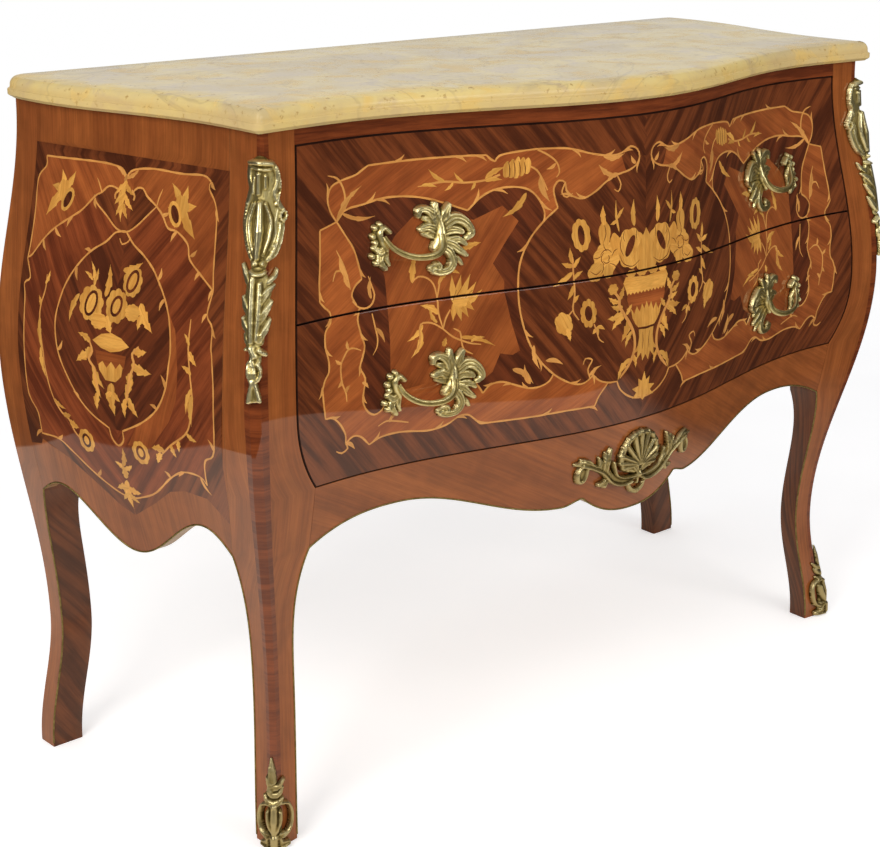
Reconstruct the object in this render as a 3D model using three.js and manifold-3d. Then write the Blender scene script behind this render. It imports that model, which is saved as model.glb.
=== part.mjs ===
// A commode chest: a swelling, serpentine case of two drawers on cabriole legs, under a
// marble slab, with cast brass pulls and corner mounts.
// Millimetres, +Z up. The front faces -Y and the origin is on the floor under the middle.
import * as THREE from 'three';
import { mergeVertices } from 'three/addons/utils/BufferGeometryUtils.js';
import Module from 'manifold-3d';

const wasm = await Module();
wasm.setup();

// Heights, from the floor up: the arch under the apron, the two drawers, the frieze and the slab
const ankleHeight = 175;
const archHeight = 400;
const apronNeck = 48;
const bellyLift = 92;
const lowerDrawerHeight = 190;
const upperDrawerHeight = 188;
const friezeHeight = 17.7;
const marbleThickness = 26;

// Clearances: between pieces that touch, round the boards, and behind cast pieces
const seatGap = 0.3;
const boardGap = 0.6;
const mountGap = 0.5;
const cornerGap = 0.8;

// Half width of the case at its front corners and at its back corners
const frontHalfFoot = 513;
const frontHalfAnkle = 498;
const frontHalfBelly = 543;
const frontHalfTop = 498;
const rearHalfFoot = 597;
const rearHalfAnkle = 571;
const rearHalfBelly = 611;
const rearHalfTop = 563;

// Depth of the case, from its flat back to the front corners and to the middle of the front
const cornerDepthFoot = 419;
const cornerDepthAnkle = 400;
const cornerDepthBelly = 454;
const cornerDepthTop = 418;
const centreDepthFoot = 478;
const centreDepthAnkle = 480;
const centreDepthBelly = 504;
const centreDepthTop = 490;

// The hollow of the serpentine front, and the wave of the sides
const valleyDepth = 10;
const valleyShare = 0.76;
const sideWave = 10;

// The flat arris down each front corner
const arrisFoot = 6;
const arrisAnkle = 6;
const arrisBelly = 9;
const arrisTop = 3;

// Drawer openings in the front
const frontGap = 1.2;
const stileBelly = 58;
const stileTop = 45;
const sweepWidth = 23;
const sweepPower = 2.2;

// Legs
const legWidth = 35;
const sidePostWidth = 58;
const frontKneeDrop = 28;
const sideKneeDrop = 37;
const rearKneeDrop = 32;
const kneePower = 3.5;
const rearLegDepth = 30;
const rearPostDepth = 50;
const rearLegWidth = 45;
const rearPostWidth = 48;
const legEdgeRadius = 3;

// Front apron outline, with its drops below the arch
const apronThickness = 20;
const lobeDrop = 72;
const lobeHalf = 82;
const cuspDrop = 43;
const dipHalf = 112;
const dipDrop = 50;
const archHalf = 330;
const lobePower = 2.5;

// Side panel and its apron, with its drops below the arch
const panelThickness = 18;
const sideArchDrop = 11;
const sideLobeDrop = 76;
const sideArchShare = 0.15;

// Marble slab
const marbleOverhang = 15;
const marbleBackOverhang = 10;
const marbleFrontCorner = 12;
const marbleBackCorner = 30;
const marbleTopInset = 12;
const marbleUnderInset = 5;

// Boards and rails
const boardThickness = 12;
const backPanelThickness = 10;
const backPanelInset = 3;
const railThickness = 20;
const bottomBoardDrop = 6;
const dividerDrop = 9;

// Drawer boxes
const drawerFrontThickness = 22;
const boxSideGap = 23;
const boxSideThickness = 12;
const boxBackGap = 1;
const boxTopDrop = 36;
const boxBackDrop = 8;
const boxBottomThickness = 6;
const boxBottomLift = 6;
const runnerTopLift = 3.2;
const runnerWidth = 42;
const runnerLip = 20;
const runnerLipHeight = 18;
const runnerSetback = 20;
const stopWidth = 40;
const stopHeight = 22;
const stopInset = 168;

// Cast pulls: a leaf on the inner side, a rosette on the outer side and a low bow between
const pullInset = 137;
const upperPullLift = 70;
const lowerPullLift = 95;
const leafOffset = -35;
const leafRadius = 34;
const leafRelief = 11;
const rosetteOffset = 46;
const rosetteRadius = 16;
const rosetteTallShare = 1.35;
const rosetteRelief = 8;
const castRim = 1.6;
const bowRadius = 4;
const bowRise = 23;
const bowDrop = 15;
const bowEndRise = 5;
const screwRadius = 2;
const screwHeadRadius = 4.5;
const screwHeadHeight = 2.6;
const screwSeatDepth = 3;
const screwTipGap = 1;

// Corner mounts
const chuteDrop = 27.7;
const chuteLength = 250;
const chuteHalf = 30;
const chuteRelief = 15;
const sabotLow = 1;
const sabotLength = 111;
const sabotHalf = 29;
const sabotRelief = 13;
const cornerRim = 1.2;

// Apron mount: a fluted shell between two scrolled arms, with a knob below, lifted from the lobe
const shellLift = 73;
const shellRadius = 30;
const shellRelief = 11;
const armReach = 104;
const armRise = 12;
const armDrop = 20;
const armRadius = 4.5;
const armTipRadius = 1.8;
const knobLift = 24;
const knobRadius = 6;
const knobRelief = 7;

const drawerLow = archHeight + apronNeck;
const drawerSplit = drawerLow + lowerDrawerHeight;
const drawerHigh = drawerSplit + upperDrawerHeight;
const caseTop = drawerHigh + friezeHeight;
const caseBack = centreDepthBelly / 2;
const stationHeights = [0, ankleHeight, drawerLow + bellyLift, caseTop];
const frontKneeHeight = archHeight - frontKneeDrop;
const sideKneeHeight = archHeight - sideKneeDrop;
const rearKneeHeight = archHeight - rearKneeDrop;
const frontHalfSizes = [frontHalfFoot, frontHalfAnkle, frontHalfBelly, frontHalfTop];
const rearHalfSizes = [rearHalfFoot, rearHalfAnkle, rearHalfBelly, rearHalfTop];
const cornerDepthSizes = [cornerDepthFoot, cornerDepthAnkle, cornerDepthBelly, cornerDepthTop];
const centreDepthSizes = [centreDepthFoot, centreDepthAnkle, centreDepthBelly, centreDepthTop];
const arrisSizes = [arrisFoot, arrisAnkle, arrisBelly, arrisTop];
const stileSizes = [stileBelly, stileBelly, stileBelly, stileTop];

// The outer surface of the case

const easeShare = (t) => (1 - Math.cos(Math.PI * t)) / 2;
const mix = (a, b, t) => a + (b - a) * t;
const clamp = (value, low, high) => Math.min(Math.max(value, low), high);

// A size that swells and narrows with height through its foot, ankle, belly and top values
function atHeight(z, sizes) {
  const height = clamp(z, 0, caseTop);
  let i = 0;
  while (i < sizes.length - 2 && height > stationHeights[i + 1]) i += 1;
  const t = (height - stationHeights[i]) / (stationHeights[i + 1] - stationHeights[i]);
  return mix(sizes[i], sizes[i + 1], easeShare(t));
}

const frontHalfAt = (z) => atHeight(z, frontHalfSizes);
const arrisAt = (z) => atHeight(z, arrisSizes);
const cornerYAt = (z) => caseBack - atHeight(z, cornerDepthSizes);

// The serpentine front: full in the middle, hollow beside the corners, where it turns out again
function frontY(x, z) {
  const corner = atHeight(z, cornerDepthSizes);
  const centre = atHeight(z, centreDepthSizes);
  const valley = corner - valleyDepth;
  const t = Math.abs(x) / frontHalfAt(z);
  if (t < valleyShare) return caseBack - mix(centre, valley, easeShare(t / valleyShare));
  const turn = (Math.PI / 2) * (t - valleyShare) / (1 - valleyShare);
  return caseBack - valley - valleyDepth * (1 - Math.cos(turn));
}

// The side splays towards the back in a slow wave
function sideX(y, z) {
  const corner = cornerYAt(z);
  const t = (y - corner) / (caseBack - corner);
  const straight = mix(frontHalfAt(z), atHeight(z, rearHalfSizes), t);
  return straight - sideWave * Math.sin(2 * Math.PI * t);
}

// Edge of the drawer openings: it follows the corner and sweeps inwards at the bottom
function drawerEdgeX(z) {
  const stile = atHeight(z, stileSizes);
  const drop = Math.max(0, (drawerLow + bellyLift - z) / bellyLift);
  return frontHalfAt(z) - stile - sweepWidth * drop ** sweepPower;
}

const apronHalf = drawerEdgeX(drawerLow);
const openingHalf = Math.min(apronHalf, drawerEdgeX(caseTop));
const rearPostInnerX = Math.min(rearHalfBelly, rearHalfTop) - rearPostWidth;

// Lower edge of the front apron: a lobe in the middle, a cusp and a long arch to each leg
function apronEdge(x) {
  const a = Math.abs(x);
  const stretch = (from, to) => (a - from) / (to - from);
  if (a < lobeHalf) return archHeight - mix(lobeDrop, cuspDrop, stretch(0, lobeHalf) ** lobePower);
  if (a < dipHalf) return archHeight - mix(cuspDrop, dipDrop, easeShare(stretch(lobeHalf, dipHalf)));
  if (a < archHalf) return archHeight - mix(dipDrop, 0, easeShare(stretch(dipHalf, archHalf)));
  return archHeight - frontKneeDrop * stretch(archHalf, apronHalf) ** lobePower;
}

// Lower edge of the side apron, by its share of the way from the front leg to the back leg
function sideApronEdge(share) {
  const s = Math.min(share, 1 - share);
  const knee = share < 0.5 ? sideKneeDrop : rearKneeDrop;
  const arch = Math.sin((Math.PI / 2) * (s / sideArchShare));
  if (s < sideArchShare) return archHeight - mix(knee, sideArchDrop, arch);
  const lobe = easeShare((s - sideArchShare) / (0.5 - sideArchShare));
  return archHeight - mix(sideArchDrop, sideLobeDrop, lobe);
}

// Mesh builders

function geometryOf(points, faces, mirrored = false) {
  const geometry = new THREE.BufferGeometry();
  geometry.setAttribute('position', new THREE.Float32BufferAttribute(points.flat(), 3));
  geometry.setIndex(faces.flatMap(([a, b, c]) => (mirrored ? [a, c, b] : [a, b, c])));
  return geometry;
}

// Triangles that fill a counter-clockwise ring of points in the plane, ear by ear. Each ear is the
// best shaped one that is left, so points in line with their neighbours keep their place.
function fillRing(ring) {
  const left = ring.map((_, i) => i);
  const faces = [];
  const area = (a, b, c) => (b[0] - a[0]) * (c[1] - a[1]) - (b[1] - a[1]) * (c[0] - a[0]);
  const gap = (a, b) => (b[0] - a[0]) ** 2 + (b[1] - a[1]) ** 2;
  while (left.length > 3) {
    let best = { quality: -Infinity, at: 0 };
    left.forEach((_, at) => {
      const ids = [left.at(at - 1), left[at], left[(at + 1) % left.length]];
      const [a, b, c] = ids.map((i) => ring[i]);
      const quality = area(a, b, c) / (gap(a, b) + gap(b, c) + gap(c, a));
      if (quality <= best.quality) return;
      const blocked = left.some((i) => !ids.includes(i) && area(a, b, ring[i]) >= 0
        && area(b, c, ring[i]) >= 0 && area(c, a, ring[i]) >= 0);
      if (!blocked) best = { quality, at };
    });
    const { at } = best;
    faces.push([left.at(at - 1), left[at], left[(at + 1) % left.length]]);
    left.splice(at, 1);
  }
  return [...faces, left];
}

// Side faces between rings of equal count that follow each other in the list of points
function ringFaces(rings, count) {
  const faces = [];
  for (let i = 0; i < rings - 1; i += 1) {
    for (let j = 0; j < count; j += 1) {
      const a = i * count + j;
      const b = i * count + ((j + 1) % count);
      faces.push([a, b, b + count], [a, b + count, a + count]);
    }
  }
  return faces;
}

// A closed solid through sections of equal count. The plan of a section, seen along the way the
// sections follow each other, is a counter-clockwise ring.
function loft(sections, plan, mirrored = false) {
  const count = sections[0].length;
  const last = (sections.length - 1) * count;
  const faces = ringFaces(sections.length, count);
  for (const [a, b, c] of fillRing(sections[0].map(plan))) faces.push([a, c, b]);
  for (const [a, b, c] of fillRing(sections.at(-1).map(plan))) faces.push([last + a, last + b, last + c]);
  return geometryOf(sections.flat(), faces, mirrored);
}

// A closed sheet between an outer and an inner face, both given at columns and rows
function sheet(columns, rows, outer, inner, mirrored = false) {
  const points = [];
  for (const face of [outer, inner]) {
    for (let i = 0; i <= columns; i += 1) {
      for (let j = 0; j <= rows; j += 1) points.push(face(i, j / rows));
    }
  }
  const stride = rows + 1;
  const inside = (columns + 1) * stride;
  const faces = [];
  const quad = (a, b, c, d) => faces.push([a, b, c], [a, c, d]);
  for (let i = 0; i < columns; i += 1) {
    for (let j = 0; j < rows; j += 1) {
      const a = i * stride + j;
      quad(a, a + stride, a + stride + 1, a + 1);
      quad(inside + a, inside + a + 1, inside + a + stride + 1, inside + a + stride);
    }
  }
  for (let i = 0; i < columns; i += 1) {
    const low = i * stride;
    const high = low + rows;
    quad(low, inside + low, inside + low + stride, low + stride);
    quad(high, high + stride, inside + high + stride, inside + high);
  }
  for (let j = 0; j < rows; j += 1) {
    const end = columns * stride + j;
    quad(j, j + 1, inside + j + 1, inside + j);
    quad(end, inside + end, inside + end + 1, end + 1);
  }
  return geometryOf(points, faces, mirrored);
}

// The plan of a section on the right, or of one mirrored to the left
const planOf = (side) => ([x, y]) => [side * x, y];

// An upright prism over an outline in plan
function prism(outline, low, high) {
  return loft([low, high].map((z) => outline.map(([x, y]) => [x, y, z])), planOf(1));
}

function block(x0, x1, y0, y1, z0, z1) {
  return prism([[x0, y0], [x1, y0], [x1, y1], [x0, y1]], z0, z1);
}

// A board standing on edge across X, from an outline in Y and Z
function uprightBoard(outline, x0, x1) {
  return loft([x0, x1].map((x) => outline.map(([y, z]) => [x, y, z])), ([, y, z]) => [y, z]);
}

function toSolid(geometry) {
  const bare = geometry.clone();
  bare.deleteAttribute('normal');
  bare.deleteAttribute('uv');
  const merged = mergeVertices(bare);
  return new wasm.Manifold(new wasm.Mesh({
    numProp: 3,
    vertProperties: merged.attributes.position.array,
    triVerts: new Uint32Array(merged.index.array),
  }));
}

function fromSolid(solid) {
  const mesh = solid.getMesh();
  const geometry = new THREE.BufferGeometry();
  geometry.setAttribute('position', new THREE.BufferAttribute(new Float32Array(mesh.vertProperties), 3));
  geometry.setIndex(Array.from(mesh.triVerts));
  return geometry;
}

function join(geometries) {
  const [first, ...rest] = geometries.map(toSolid);
  return fromSolid(rest.reduce((whole, piece) => whole.add(piece), first));
}

// Cast ornament is modelled flat, as across, up and rise, and then laid on its surface

// A relief with a star-shaped outline, standing on a flat base
function relief(across, up, radiusAt, riseAt, around, rings) {
  const points = [[across, up, riseAt(0, 0)]];
  const faces = [];
  const ringAt = (share, rise) => {
    for (let j = 0; j < around; j += 1) {
      const turn = (2 * Math.PI * j) / around;
      const [a, b] = radiusAt(turn);
      points.push([across + a * share, up + b * share, rise(share, turn)]);
    }
  };
  for (let i = 1; i <= rings; i += 1) ringAt(i / rings, riseAt);
  ringAt(1, () => 0);
  ringAt(0.5, () => 0);
  points.push([across, up, 0]);
  const total = rings + 2;
  for (let j = 0; j < around; j += 1) {
    const k = (j + 1) % around;
    faces.push([0, 1 + j, 1 + k]);
    for (let i = 0; i < total - 1; i += 1) {
      const a = 1 + i * around;
      faces.push([a + j, a + around + j, a + around + k], [a + j, a + around + k, a + k]);
    }
    const base = 1 + (total - 1) * around;
    faces.push([base + j, points.length - 1, base + k]);
  }
  return geometryOf(points, faces);
}

// A tapering rod with closed ends along points, with one radius for each point
function rod(path, radii, sides) {
  const sections = [];
  const spine = path.map((p) => new THREE.Vector3(...p));
  let side = new THREE.Vector3(0, 0, 1);
  for (let i = 0; i < spine.length; i += 1) {
    const before = spine[Math.max(i - 1, 0)];
    const after = spine[Math.min(i + 1, spine.length - 1)];
    const along = after.clone().sub(before).normalize();
    const other = along.clone().cross(side).normalize();
    side = other.clone().cross(along).normalize();
    const ring = [];
    for (let j = 0; j < sides; j += 1) {
      const turn = (2 * Math.PI * j) / sides;
      const offset = side.clone().multiplyScalar(Math.cos(turn) * radii[i]);
      offset.addScaledVector(other, Math.sin(turn) * radii[i]);
      ring.push(spine[i].clone().add(offset).toArray());
    }
    sections.push(ring);
  }
  const faces = ringFaces(sections.length, sides);
  const last = (sections.length - 1) * sides;
  for (let j = 1; j < sides - 1; j += 1) {
    faces.push([0, j + 1, j], [last, last + j, last + j + 1]);
  }
  return geometryOf(sections.flat(), faces);
}

// Lay a flat casting on a surface that answers where a point across, up and above it lies
function lay(geometry, place, mirrored = false) {
  const laid = geometry.clone();
  const position = laid.attributes.position;
  for (let i = 0; i < position.count; i += 1) {
    const [x, y, z] = place(position.getX(i), position.getY(i), position.getZ(i));
    position.setXYZ(i, x, y, z);
  }
  if (mirrored) {
    const index = laid.index.array.slice();
    for (let i = 0; i < index.length; i += 3) [index[i + 1], index[i + 2]] = [index[i + 2], index[i + 1]];
    laid.setIndex(Array.from(index));
  }
  laid.deleteAttribute('normal');
  return laid;
}

const onFront = (x, z, rise) => [x, frontY(x, z) - mountGap - rise, z];

// Around a front corner: along the front, across the flat arris and along the side
function onCorner(side) {
  return (across, z, rise) => {
    const flat = arrisAt(z);
    const cornerX = frontHalfAt(z);
    const cornerY = cornerYAt(z);
    const half = flat * Math.SQRT1_2;
    const turn = clamp(across / (2 * half), -0.5, 0.5);
    let x = mix(cornerX - flat, cornerX, turn + 0.5);
    let y = mix(cornerY, cornerY + flat, turn + 0.5);
    if (across < -half) {
      x = cornerX - flat + (across + half);
      y = frontY(x, z);
    }
    if (across > half) {
      y = cornerY + flat + (across - half);
      x = sideX(y, z);
    }
    const facing = (Math.PI / 4) * (1 + clamp(across / (chuteHalf / 2), -1, 1));
    const out = cornerGap + rise;
    return [side * (x + Math.sin(facing) * out), y - Math.cos(facing) * out, z];
  };
}

// Carcass pieces

const legRowShares = [
  0, 0.075, 0.15, 0.225, 0.3, 0.38, 0.46, 0.54, 0.62, 0.69, 0.75, 0.81, 0.86, 0.91, 0.955, 1,
];
const sweepRowShares = [0, 0.14, 0.32, 0.55, 0.8];
const caseRows = 14;

// Section heights of a leg and its post. Above the knee they match the rows of the side panel,
// so that the two pieces bend alike along their joint.
function legHeights(knee, extra) {
  const heights = [...legRowShares.map((share) => share * knee), ...extra];
  for (let i = 1; i <= caseRows; i += 1) heights.push(mix(knee, caseTop, i / caseRows));
  return heights.sort((a, b) => a - b);
}

function postInnerX(z) {
  if (z >= drawerLow) return drawerEdgeX(z);
  if (z >= frontKneeHeight) return apronHalf;
  const knee = frontHalfAt(frontKneeHeight) - apronHalf;
  const rise = Math.max(0, (z - ankleHeight) / (frontKneeHeight - ankleHeight));
  return frontHalfAt(z) - mix(legWidth, knee, rise ** kneePower);
}

function postSideWidth(z) {
  const rise = clamp((z - ankleHeight) / (sideKneeHeight - ankleHeight), 0, 1);
  return mix(legWidth, sidePostWidth, rise ** kneePower);
}

// A front leg and the corner post above it, in one piece from floor to slab
function frontLeg(side) {
  const sweepRows = sweepRowShares.map((share) => drawerLow + share * bellyLift);
  const sections = legHeights(sideKneeHeight, [frontKneeHeight, ...sweepRows]).map((z) => {
    const inner = postInnerX(z);
    const corner = cornerYAt(z);
    const back = corner + postSideWidth(z);
    const flat = arrisAt(z);
    const outer = frontHalfAt(z) - flat;
    const ring = [inner, (inner + outer) / 2, outer].map((x) => [x, frontY(x, z)]);
    for (const y of [corner + flat, (corner + flat + back) / 2, back]) ring.push([sideX(y, z), y]);
    ring.push([inner + legEdgeRadius, back], [inner, back - legEdgeRadius]);
    return ring.map(([x, y]) => [side * x, y, z]);
  });
  return loft(sections, planOf(side), side < 0);
}

// A back leg and its post, flat at the back
function rearInnerX(z) {
  const bracket = rearHalfAt(archHeight) - rearPostInnerX;
  const rise = clamp((z - ankleHeight) / (archHeight - ankleHeight), 0, 1);
  if (z >= archHeight) return rearPostInnerX;
  return rearHalfAt(z) - mix(rearLegWidth, bracket, rise ** (2 * kneePower));
}

function rearHalfAt(z) {
  return atHeight(z, rearHalfSizes);
}

function rearFrontY(z) {
  const rise = clamp((z - ankleHeight) / (rearKneeHeight - ankleHeight), 0, 1);
  return caseBack - mix(rearLegDepth, rearPostDepth, rise ** kneePower);
}

function rearLeg(side) {
  const sections = legHeights(rearKneeHeight, [archHeight]).map((z) => {
    const front = rearFrontY(z);
    const inner = rearInnerX(z);
    const ring = [[inner, front + legEdgeRadius], [inner + legEdgeRadius, front]];
    for (const y of [front, (front + caseBack) / 2, caseBack]) ring.push([sideX(y, z), y]);
    ring.push([inner, caseBack]);
    return ring.map(([x, y]) => [side * x, y, z]);
  });
  return loft(sections, planOf(side), side < 0);
}

function sidePanel(side) {
  const columns = 14;
  const place = (thickness) => (i, up) => {
    const share = i / columns;
    const z = mix(sideApronEdge(share), caseTop, up);
    const front = cornerYAt(z) + sidePostWidth + seatGap;
    const y = mix(front, caseBack - rearPostDepth - seatGap, share);
    return [side * (sideX(y, z) - thickness), y, z];
  };
  return sheet(columns, caseRows, place(0), place(panelThickness), side < 0);
}

// Columns at shares of each stretch of the apron outline, so that the cusps stay sharp
function apronColumns() {
  const breaks = [0, lobeHalf, dipHalf, archHalf, apronHalf - seatGap];
  const counts = [4, 2, 7, 5];
  const half = [0];
  counts.forEach((count, i) => {
    for (let k = 1; k <= count; k += 1) half.push(mix(breaks[i], breaks[i + 1], k / count));
  });
  return [...half.slice(1).reverse().map((x) => -x), ...half];
}

function frontApron() {
  const xs = apronColumns();
  const place = (thickness) => (i, up) => {
    const z = mix(apronEdge(xs[i]), drawerLow, up);
    return [xs[i], frontY(xs[i], z) + thickness, z];
  };
  return sheet(xs.length - 1, 3, place(0), place(apronThickness));
}

function friezeRail() {
  const columns = 36;
  const half = Math.min(drawerEdgeX(drawerHigh), openingHalf) - seatGap;
  const place = (thickness) => (i, up) => {
    const z = mix(drawerHigh, caseTop, up);
    const x = mix(-half, half, i / columns);
    return [x, frontY(x, z) + thickness, z];
  };
  return sheet(columns, 1, place(0), place(railThickness));
}

const insideBack = caseBack - backPanelInset - backPanelThickness - seatGap;

// A level board that fills the case between the front, the posts, the side panels and the back
function levelBoard(high, frontInset) {
  const low = high - boardThickness;
  const levels = [low, high];
  const least = (read) => Math.min(...levels.map(read));
  const most = (read) => Math.max(...levels.map(read));
  const postX = least(postInnerX) - boardGap;
  const postBack = most((z) => cornerYAt(z) + postSideWidth(z)) + boardGap;
  const rearFront = caseBack - rearPostDepth - seatGap;
  const rearX = rearPostInnerX - seatGap;
  const half = [];
  const frontSteps = 18;
  for (let i = 0; i <= frontSteps; i += 1) {
    const x = (postX * i) / frontSteps;
    half.push([x, most((z) => frontY(x, z)) + frontInset]);
  }
  half.push([postX, postBack]);
  const sideSteps = 8;
  for (let i = 0; i <= sideSteps; i += 1) {
    const y = mix(postBack, rearFront, i / sideSteps);
    half.push([least((z) => sideX(y, z)) - panelThickness - boardGap, y]);
  }
  half.push([rearX, rearFront], [rearX, insideBack]);
  const left = half.slice(1).reverse().map(([x, y]) => [-x, y]);
  return prism([...half, ...left], low, high);
}

function backPanel() {
  const half = rearPostInnerX - seatGap;
  const back = caseBack - backPanelInset;
  return block(-half, half, back - backPanelThickness, back, archHeight, caseTop);
}

// Marble slab

function roundedOutline(corners) {
  const outline = [];
  corners.forEach(({ point, radius }, i) => {
    if (!radius) {
      outline.push(point);
      return;
    }
    const before = corners[(i + corners.length - 1) % corners.length].point;
    const after = corners[(i + 1) % corners.length].point;
    const towards = (to) => {
      const gap = Math.hypot(to[0] - point[0], to[1] - point[1]);
      return [mix(point[0], to[0], radius / gap), mix(point[1], to[1], radius / gap)];
    };
    const from = towards(before);
    const until = towards(after);
    const steps = 4;
    for (let k = 0; k <= steps; k += 1) {
      const t = k / steps;
      outline.push([0, 1].map((c) => mix(mix(from[c], point[c], t), mix(point[c], until[c], t), t)));
    }
  });
  return outline;
}

function slabOutline() {
  const frontSteps = 28;
  const sideSteps = 9;
  const cornerX = frontHalfTop + marbleOverhang;
  const cornerY = cornerYAt(caseTop) - marbleOverhang;
  const backY = caseBack + marbleBackOverhang;
  const backX = rearHalfTop + marbleOverhang;
  const front = [];
  for (let i = 1; i < frontSteps; i += 1) {
    const x = mix(-cornerX, cornerX, i / frontSteps);
    if (Math.abs(x) < cornerX - 1.5 * marbleFrontCorner) {
      front.push({ point: [x, frontY(x * (frontHalfTop / cornerX), caseTop) - marbleOverhang] });
    }
  }
  const side = [];
  for (let i = 1; i < sideSteps; i += 1) {
    const y = mix(cornerY, backY, i / sideSteps);
    if (y < backY - 1.2 * marbleBackCorner) side.push({ point: [sideX(y, caseTop) + marbleOverhang, y] });
  }
  const mirrored = side.map(({ point }) => ({ point: [-point[0], point[1]] })).reverse();
  return roundedOutline([
    { point: [-cornerX, cornerY], radius: marbleFrontCorner },
    ...front,
    { point: [cornerX, cornerY], radius: marbleFrontCorner },
    ...side,
    { point: [backX, backY], radius: marbleBackCorner },
    { point: [-backX, backY], radius: marbleBackCorner },
    ...mirrored,
  ]);
}

// Move each point of an outline inwards, square to its neighbours
function inset(outline, distance) {
  return outline.map((p, i) => {
    const before = outline[(i + outline.length - 1) % outline.length];
    const after = outline[(i + 1) % outline.length];
    const dx = after[0] - before[0];
    const dy = after[1] - before[1];
    const length = Math.hypot(dx, dy);
    return [p[0] - (dy / length) * distance, p[1] + (dx / length) * distance];
  });
}

// Edge profile of the slab, as shares of its insets and of its thickness
const slabProfileShares = [
  [1, 0, 0], [0.25, 0, 0.16], [0, 0, 0.42], [0, 0.22, 0.6], [0, 0.72, 0.8], [0, 1, 1],
];

function marbleTop() {
  const outline = slabOutline();
  const base = caseTop + seatGap;
  return loft(slabProfileShares.map(([underShare, topShare, upShare]) => {
    const distance = underShare * marbleUnderInset + topShare * marbleTopInset;
    return inset(outline, distance).map(([x, y]) => [x, y, base + upShare * marbleThickness]);
  }), planOf(1));
}

// Drawers

// A clearance hole for each screw, and a flat-bottomed recess for its head in the sloping inside face
function screwHoles(holes) {
  const length = 4 * drawerFrontThickness;
  return holes.flatMap(([x, z]) => {
    const hole = new THREE.CylinderGeometry(screwRadius + seatGap, screwRadius + seatGap, length, 8);
    hole.translate(x, frontY(x, z), z);
    const recessRadius = screwHeadRadius + 2 * seatGap;
    const recess = new THREE.CylinderGeometry(recessRadius, recessRadius, length, 8);
    recess.translate(x, screwSeatY(x, z) + length / 2, z);
    return [hole, recess];
  });
}

const screwSeatY = (x, z) => frontY(x, z) + drawerFrontThickness - screwSeatDepth;

function drawerFront(low, high, pullHeight) {
  const columns = 38;
  const bottom = low + frontGap;
  const top = high - frontGap / 2;
  const place = (thickness) => (i, up) => {
    const z = mix(bottom, top, up);
    const half = drawerEdgeX(z) - frontGap;
    const x = mix(-half, half, i / columns);
    return [x, frontY(x, z) + thickness, z];
  };
  const blank = toSolid(sheet(columns, 5, place(0), place(drawerFrontThickness)));
  const holes = screwHoles(pullScrews(pullHeight));
  return fromSolid(holes.reduce((front, hole) => front.subtract(toSolid(hole)), blank));
}

const boxHalfWidth = openingHalf - boxSideGap;
const boxInnerHalf = boxHalfWidth - boxSideThickness - seatGap;
const boxBackY = caseBack - rearPostDepth - boxBackGap;

function boxFrontY(x, low, high) {
  const heights = [low, (low + high) / 2, high];
  return Math.max(...heights.map((z) => frontY(x, z))) + drawerFrontThickness + seatGap;
}

function drawerSide(side, floor, top) {
  const outerX = side * boxHalfWidth;
  const innerX = side * (boxHalfWidth - boxSideThickness);
  const steps = 4;
  const outline = [[boxBackY, floor], [boxBackY, top]];
  for (let i = steps; i >= 0; i -= 1) {
    const z = mix(floor, top, i / steps);
    const y = Math.max(frontY(innerX, z), frontY(outerX, z)) + drawerFrontThickness + 2 * seatGap;
    outline.push([y, z]);
  }
  return uprightBoard(outline, Math.min(innerX, outerX), Math.max(innerX, outerX));
}

function drawerBack(floor, top) {
  return block(-boxInnerHalf, boxInnerHalf, boxBackY - boxSideThickness, boxBackY, floor, top - boxBackDrop);
}

function drawerBottom(floor) {
  const low = floor + boxBottomLift;
  const high = low + boxBottomThickness;
  const steps = 24;
  const front = [];
  for (let i = 0; i <= steps; i += 1) {
    const x = mix(-boxInnerHalf, boxInnerHalf, i / steps);
    front.push([x, boxFrontY(x, low, high) + seatGap]);
  }
  const back = boxBackY - boxSideThickness - seatGap;
  return prism([...front, [boxInnerHalf, back], [-boxInnerHalf, back]], low, high);
}

// A rebated runner: the drawer side slides on its flat and is guided by its lip
function runner(side, boardTop, floor) {
  const low = boardTop + seatGap;
  const top = floor - seatGap;
  const inner = boxHalfWidth + runnerLip - runnerWidth;
  const guide = boxHalfWidth + 2 * seatGap;
  const outer = boxHalfWidth + runnerLip;
  const lip = top + runnerLipHeight;
  const front = boxFrontY(outer, low, lip) + runnerSetback;
  const profile = [[inner, low], [outer, low], [outer, lip], [guide, lip], [guide, top], [inner, top]];
  const sections = [boxBackY, front].map((y) => profile.map(([x, z]) => [side * x, y, z]));
  return loft(sections, ([x, , z]) => [side * x, z], side < 0);
}

// A block between the divider and the back panel, which the closed drawer comes up against
function drawerStop(side, boardTop) {
  const low = boardTop + seatGap;
  const x = side * (boxInnerHalf - stopInset);
  return block(x - stopWidth / 2, x + stopWidth / 2, boxBackY + boardGap, insideBack, low, low + stopHeight);
}

// Cast pulls

const pullX = openingHalf - pullInset;
const pullScrews = (height) => [-1, 1].flatMap((side) => [leafOffset, rosetteOffset]
  .map((offset) => [side * (pullX + offset), height]));

const leafLobes = 7;
const leafScallopShare = 0.32;
const bowFullness = 0.6;
const bowTaperShare = 0.25;
const rosettePetals = 8;
const rosetteScallopShare = 0.18;

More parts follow.
